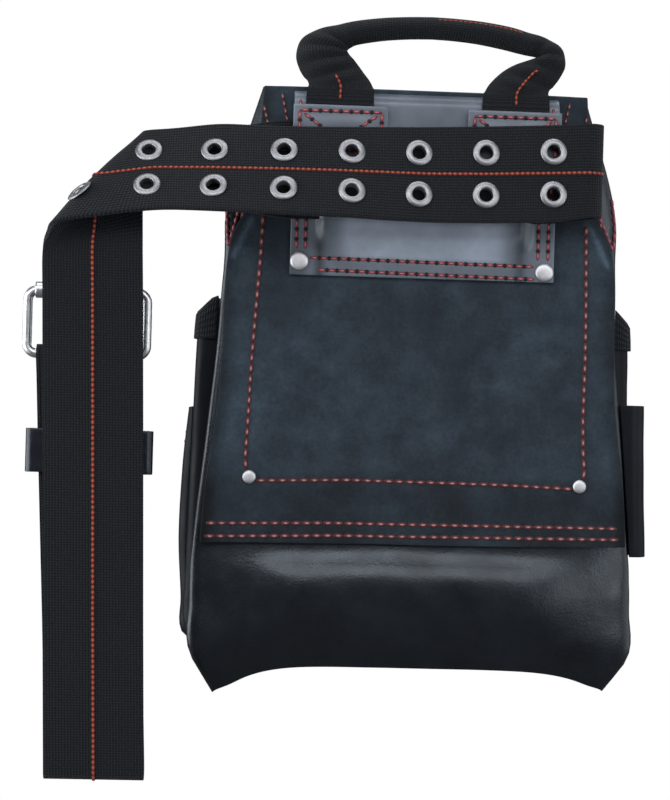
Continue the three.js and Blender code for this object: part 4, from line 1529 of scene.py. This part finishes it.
class NAILBAG_OT_buckle(bpy.types.Operator):
    """Roller buckle of steel wire, with its two prongs"""

    bl_idname = "nailbag.buckle"
    bl_label = "Buckle"

    def execute(self, context):
        self.wire_frame()
        self.roller()
        self.prong("buckle_prong_left", BUCKLE_X - PRONG_APART)
        self.prong("buckle_prong_right", BUCKLE_X + PRONG_APART)
        return {"FINISHED"}

    def wire_frame(self):
        middle, tall = (BASE_BAR + ROLLER_BAR) / 2, (ROLLER_BAR - BASE_BAR) / 2
        corners = rounded_frame(BUCKLE_X, middle, BUCKLE_HALF, tall, BUCKLE_CORNER, 8)
        bm = wire_mesh([Vector((p.x, BUCKLE_DEPTH, p.y)) for p in corners], BUCKLE_WIRE, True)
        new_piece("steel_buckle_frame", bm, "steel", ["buckle_frame"])

    def roller(self):
        outline = [
            (3.0, -26.2), (3.8, -26.3), (4.15, -26.0), (4.2, -25.4), (4.2, 25.4),
            (4.15, 26.0), (3.8, 26.3), (3.0, 26.2), (2.95, 0.0), (3.0, -26.2),
        ]
        bm = bmesh.new()
        turned(bm, outline, 40, Vector((BUCKLE_X, BUCKLE_DEPTH, ROLLER_BAR)), RIGHT)
        new_piece("steel_buckle_roller", merged(bm), "steel", ["buckle_roller"], body="roller")

    def prong(self, node, x):
        """One prong, with its eye round the base bar and its end lying over the roller."""
        way = Vector((0, PRONG_LIFT, ROLLER_BAR - BASE_BAR)).normalized()
        side = Vector((0, -way.z, way.y))
        centre = Vector((x, BUCKLE_DEPTH, BASE_BAR))
        points = [centre + way * p.x - side * p.y for p in arc(0, 0, PRONG_RING, 20, 320, 18)]
        start = centre + way * (PRONG_RING + 1.2)
        shank = way * (PRONG_REACH - PRONG_RING - 1.2)
        points += [start + shank * i / 14 for i in range(15)]
        bm = wire_mesh(points, 1.0, False, lambda share: 1.0 if share < 0.5 else 1.9 - 0.4 * (share - 0.5))
        new_piece(f"steel_{node}", bm, "steel", [node], body="prongs")


# Stitching.


def round_form(name, rings, finish):
    """A round form of unit size that every stitch or needle hole is a copy of."""
    bm = bmesh.new()
    bm.loops.layers.uv.new("thread")
    bmesh.ops.create_uvsphere(bm, u_segments=8, v_segments=rings, radius=1, calc_uvs=True)
    mesh = mesh_of(name, bm)
    for face in mesh.polygons:
        face.material_index = finish
    return mesh


def sewn(bm, form, spot, along, out, length, width, lift):
    """One stitch, lying along a seam and bedded in the surface."""
    along = along.normalized()
    out = (out - along * out.dot(along)).normalized()
    side = out.cross(along)
    turn = Matrix((along, side, out)).transposed().to_4x4()
    shape = Matrix.Diagonal((length / 2, width / 2, lift, 1))
    copy = form.copy()
    copy.transform(Matrix.Translation(spot) @ turn @ shape)
    bm.from_mesh(copy)
    bpy.data.meshes.remove(copy)


def fine_line(places, put, step=3.0):
    """A line through places on a surface, close enough to follow its form."""
    line = []
    for start, end in zip(places, places[1:]):
        a, b = Vector(start), Vector(end)
        count = max(int((b - a).length / step), 1)
        line += [put(*a.lerp(b, i / count)) for i in range(count)]
    return line + [put(*places[-1])]


def backward(point):
    return BACKWARD


def panel_spot(x, below):
    return Vector((x, panel_depth(x, below) - LEATHER_OFF, BAG_TOP - below))


def cover_spot(x, below):
    return Vector((x, PANEL_FACE - cover_out(x, below) - LEATHER_OFF, BAG_TOP - below))


def gusset_spot(x, below):
    """A place on the round back edge of the main pouch."""
    power = MAIN_PLAN["back_power"]
    share = min(abs(x) / eased(MAIN_ROWS, "below", below)["half"], 0.999)
    depth = plan_middle(MAIN_PLAN) - MAIN_PLAN["shoulder"] * (1 - share ** power) ** (1 / power)
    return Vector((x + math.copysign(0.2, x), depth - 0.2, BAG_TOP - below))


class NAILBAG_OT_stitching(bpy.types.Operator):
    """Sewn seams of the panel, cover, patches, pockets, belt and handle"""

    bl_idname = "nailbag.stitching"
    bl_label = "Stitching"

    def execute(self, context):
        self.thread_form = round_form("stitch", 6, 0)
        self.hole_form = round_form("hole", 4, 1)
        self.pitch = sizes().leather_stitch / MM
        self.width = sizes().thread / MM
        self.belt_pitch = sizes().belt_stitch / MM
        for name, thread, sew in (
            ("stitches_panel", "panel_thread", self.panel),
            ("stitches_cover", "cover_thread", self.cover),
            ("stitches_patches", "cover_thread", self.patches),
            ("stitches_gussets", "cover_thread", self.gussets),
            ("stitches_belt", "belt_thread", self.belt),
            ("stitches_handle", "belt_thread", self.handle),
        ):
            bm = bmesh.new()
            sew(bm)
            new_piece(name, bm, f"{thread} hole")
        bpy.data.meshes.remove(self.thread_form)
        bpy.data.meshes.remove(self.hole_form)
        return {"FINISHED"}

    def stitch(self, bm, spot, along, out, length, width):
        sewn(bm, self.thread_form, spot, along, out, length, width, width * STITCH_LIFT)

    def seam(self, bm, line, pitch, width, out_at, length=STITCH_LENGTH, hole=0.0):
        """A row of stitches along a line, with a needle hole between each two if it has a width."""
        run = Run(line)
        count = max(round(run.total / pitch), 1)
        step = run.total / count
        for i in range(count):
            spot, along, _ = run.at((i + 0.5) * step)
            self.stitch(bm, spot, along, out_at(spot), step * length, width)
            if hole and i:
                spot, along, _ = run.at(i * step)
                sewn(bm, self.hole_form, spot, along, out_at(spot), hole, hole, width * HOLE_LIFT)

    def holed_seam(self, bm, line):
        """A row of thinner stitches that shows its needle holes."""
        self.seam(bm, line, COVER_PITCH, COVER_THREAD, backward, 1.0, sizes().needle_hole / MM)

    def panel(self, bm):
        for places in PANEL_SEAMS:
            fine = FINE_SHARE if places[-1][1] < FINE_ABOVE else 1
            self.seam(bm, fine_line(places, panel_spot), self.pitch * fine, self.width * fine, backward)

    def cover(self, bm):
        for places in COVER_SEAMS:
            self.holed_seam(bm, fine_line(places, cover_spot))

    def patches(self, bm):
        """A square and a cross on each patch."""
        half, tall = PATCH_HALF - PATCH_INSET, PATCH_TALL - PATCH_LOW - 2 * PATCH_INSET
        depth, top = PATCH_FACE - PATCH_SHEET, PATCH_TOP - PATCH_LOW - PATCH_INSET
        for centre in (-PATCH_CENTRE, PATCH_CENTRE):
            square = ((-1, 0), (1, 0), (1, 1), (-1, 1))
            corners = [Vector((centre + u * half, depth, top - v * tall)) for u, v in square]
            for line in zip(corners, corners[1:] + corners[:1]):
                self.holed_seam(bm, line)
            for a, b in (corners[::2], corners[1::2]):
                self.holed_seam(bm, (a.lerp(b, 0.05), a.lerp(b, 0.95)))

    def gussets(self, bm):
        """Close rows under the belt, double rows down the gussets and under the front pocket's mouth."""
        for places in GUSSET_SEAMS:
            line = fine_line(places, gusset_spot)
            out = Vector((math.copysign(0.8, line[0].x), -0.6, 0))
            self.seam(bm, line, self.pitch * GUSSET_PITCH, self.width, lambda p: out)
        for place in GUSSET_PLACES:
            line, outs = [], {}
            for below in range(6, 122, 4):
                row = eased(MAIN_ROWS, "below", below)
                ring = spaced(plan_outline(row, MAIN_PLAN), GUSSET_AROUND, True)
                way = (ring[place + 1] - ring[place - 1]).normalized()
                out = Vector((way.y, -way.x, 0))
                point = Vector((*ring[place], BAG_TOP - below)) + out * 0.15
                line.append(point)
                outs[round(point.z)] = out
            self.seam(bm, line, self.pitch, self.width, lambda p: outs[min(outs, key=lambda z: abs(z - p.z))])
        for under in MOUTH_SEAMS:
            below = FRONT_ROWS[0]["below"] + under
            outline = plan_outline(eased(FRONT_ROWS, "below", below), FRONT_PLAN)
            ring = spaced([p for p in outline if p.y > FRONT_PLAN["back"] + 6], 160, False)
            line = [Vector((*p, BAG_TOP - below)) for p in ring]
            inside = Vector((0, FRONT_PLAN["back"] + 20, BAG_TOP - below))
            self.seam(bm, line, self.pitch, self.width, lambda p: (p - inside) * Vector((0.2, 1, 0)))

    def belt(self, bm):
        """Centre line of stitches on both faces of the belt."""
        width = self.width * BELT_THREAD
        sections, middles = even_sections()
        for face in (1, -1):
            line, outs = [], []
            for i in range(2, len(sections) - 2):
                along = middles[i + 1] - middles[i - 1]
                across = sections[i][0] - sections[i][1]
                out = along.cross(across).normalized() * face
                line.append(middles[i] + out * (WEBBING / 2 + WEBBING_OFF))
                outs.append(out)
            run = Run(line)
            for i in range(int(run.total / self.belt_pitch)):
                spot, along, k = run.at((i + 0.5) * self.belt_pitch)
                self.stitch(bm, spot, along, outs[k], self.belt_pitch * STITCH_LENGTH, width)

    def handle(self, bm):
        """Centre line of stitches up both legs of the handle and over its crown."""
        for side, first, last, width, most in HANDLE_SEAMS:
            sections = handle_half(side)
            line = []
            for i in range(int(first * HANDLE_STEPS), int(last * HANDLE_STEPS)):
                step = i / HANDLE_STEPS
                roll = most * ease(4, 8, step)
                point = sections[i](0.5 + roll)
                out = (point - sections[i](0.1)).normalized() if roll else BACKWARD
                point += out * (HANDLE_SHEET / 2 + WEBBING_OFF)
                line.append(handle_set(point, side, step, 0.5 + roll))
            self.seam(bm, line, self.belt_pitch, width, lambda p: Vector((0, -1, 0.4)))


class NAILBAG_OT_stage(bpy.types.Operator):
    """Camera, pale floor and soft studio light"""

    bl_idname = "nailbag.stage"
    bl_label = "Stage"

    def execute(self, context):
        scene = context.scene
        scene.view_settings.view_transform = "Standard"
        data = bpy.data.cameras.new("camera")
        yaw = math.radians(CAMERA_YAW)
        back = Vector((math.sin(yaw), -math.cos(yaw), 0))
        roll = Matrix.Rotation(math.radians(CAMERA_ROLL), 4, "Z")
        scene.camera = self.aimed(data, CAMERA_AIM + back * CAMERA_AWAY, CAMERA_AIM, roll)
        data.sensor_width = SENSOR
        data.lens = SENSOR * PHOTO_FOCAL / PHOTO_TALL * CAMERA_AWAY
        data.clip_start, data.clip_end = 0.01, 50
        self.floor()
        self.lights()
        self.world(scene)
        return {"FINISHED"}

    def aimed(self, data, place, aim, roll=Matrix()):
        """A camera or light that looks from one place at another."""
        made = in_scene(data.name, data)
        look = (aim - place).to_track_quat("-Z", "Y").to_matrix().to_4x4()
        made.matrix_world = Matrix.Translation(place) @ look @ roll
        return made

    def floor(self):
        bm = bmesh.new()
        bmesh.ops.create_grid(bm, x_segments=4, y_segments=4, size=FLOOR_HALF)
        bmesh.ops.translate(bm, vec=(0, 0, FLOOR_LEVEL), verts=bm.verts)
        floor = in_scene("floor", mesh_of("floor", bm))
        floor.data.materials.append(Finish("pale_floor", (0.8, 0.8, 0.8), 0.8).material)
        floor.visible_glossy = False

    def lights(self):
        for name, place, size, power in LIGHTS:
            data = bpy.data.lights.new(name, "AREA")
            data.shape = "RECTANGLE"
            data.size, data.size_y = size
            data.energy = power
            self.aimed(data, Vector(place), LIGHT_AIM)

    def world(self, scene):
        """White behind the bag, which lights it only softly."""
        scene.world = bpy.data.worlds.new("studio")
        scene.world.use_nodes = True
        tree = scene.world.node_tree
        tree.nodes.clear()
        ray = tree.nodes.new("ShaderNodeLightPath")
        mix = tree.nodes.new("ShaderNodeMixShader")
        out = tree.nodes.new("ShaderNodeOutputWorld")
        tree.links.new(ray.outputs["Is Camera Ray"], mix.inputs["Fac"])
        for socket, (colour, strength) in ((1, SOFT_WORLD), (2, SEEN_WORLD)):
            light = tree.nodes.new("ShaderNodeBackground")
            light.inputs["Color"].default_value = colour
            light.inputs["Strength"].default_value = strength
            tree.links.new(light.outputs["Background"], mix.inputs[socket])
        tree.links.new(mix.outputs["Shader"], out.inputs["Surface"])


class NAILBAG_PT_panel(bpy.types.Panel):
    """Sidebar list of the bag's pieces"""

    bl_label = "Nail bag"
    bl_idname = "NAILBAG_PT_panel"
    bl_space_type = "VIEW_3D"
    bl_region_type = "UI"
    bl_category = "Nail bag"

    def draw(self, context):
        for operator in OPERATORS:
            self.layout.operator(operator.bl_idname)
        for group in (sizes(), colours()):
            for name in group.__annotations__:
                self.layout.prop(group, name)


OPERATORS = [
    NAILBAG_OT_stage,
    NAILBAG_OT_main_pouch,
    NAILBAG_OT_pockets,
    NAILBAG_OT_back_panel,
    NAILBAG_OT_tunnel_cover,
    NAILBAG_OT_handle,
    NAILBAG_OT_tool_loop,
    NAILBAG_OT_belt,
    NAILBAG_OT_metal_trim,
    NAILBAG_OT_buckle,
    NAILBAG_OT_stitching,
]
CLASSES = [NailBagSizes, NailBagColours, *OPERATORS, NAILBAG_PT_panel]


def register():
    for cls in CLASSES:
        bpy.utils.register_class(cls)
    bpy.types.Scene.nail_bag_sizes = PointerProperty(type=NailBagSizes)
    bpy.types.Scene.nail_bag_colours = PointerProperty(type=NailBagColours)


def unregister():
    del bpy.types.Scene.nail_bag_sizes
    del bpy.types.Scene.nail_bag_colours
    for cls in reversed(CLASSES):
        bpy.utils.unregister_class(cls)


def main():
    register()
    bpy.ops.nailbag.stage()
    bpy.ops.nailbag.main_pouch()
    bpy.ops.nailbag.pockets()
    bpy.ops.nailbag.back_panel()
    bpy.ops.nailbag.tunnel_cover()
    bpy.ops.nailbag.handle()
    bpy.ops.nailbag.tool_loop()
    bpy.ops.nailbag.belt()
    bpy.ops.nailbag.metal_trim()
    bpy.ops.nailbag.buckle()
    bpy.ops.nailbag.stitching()
    bpy.context.view_layer.update()


if __name__ == "__main__":
    main()
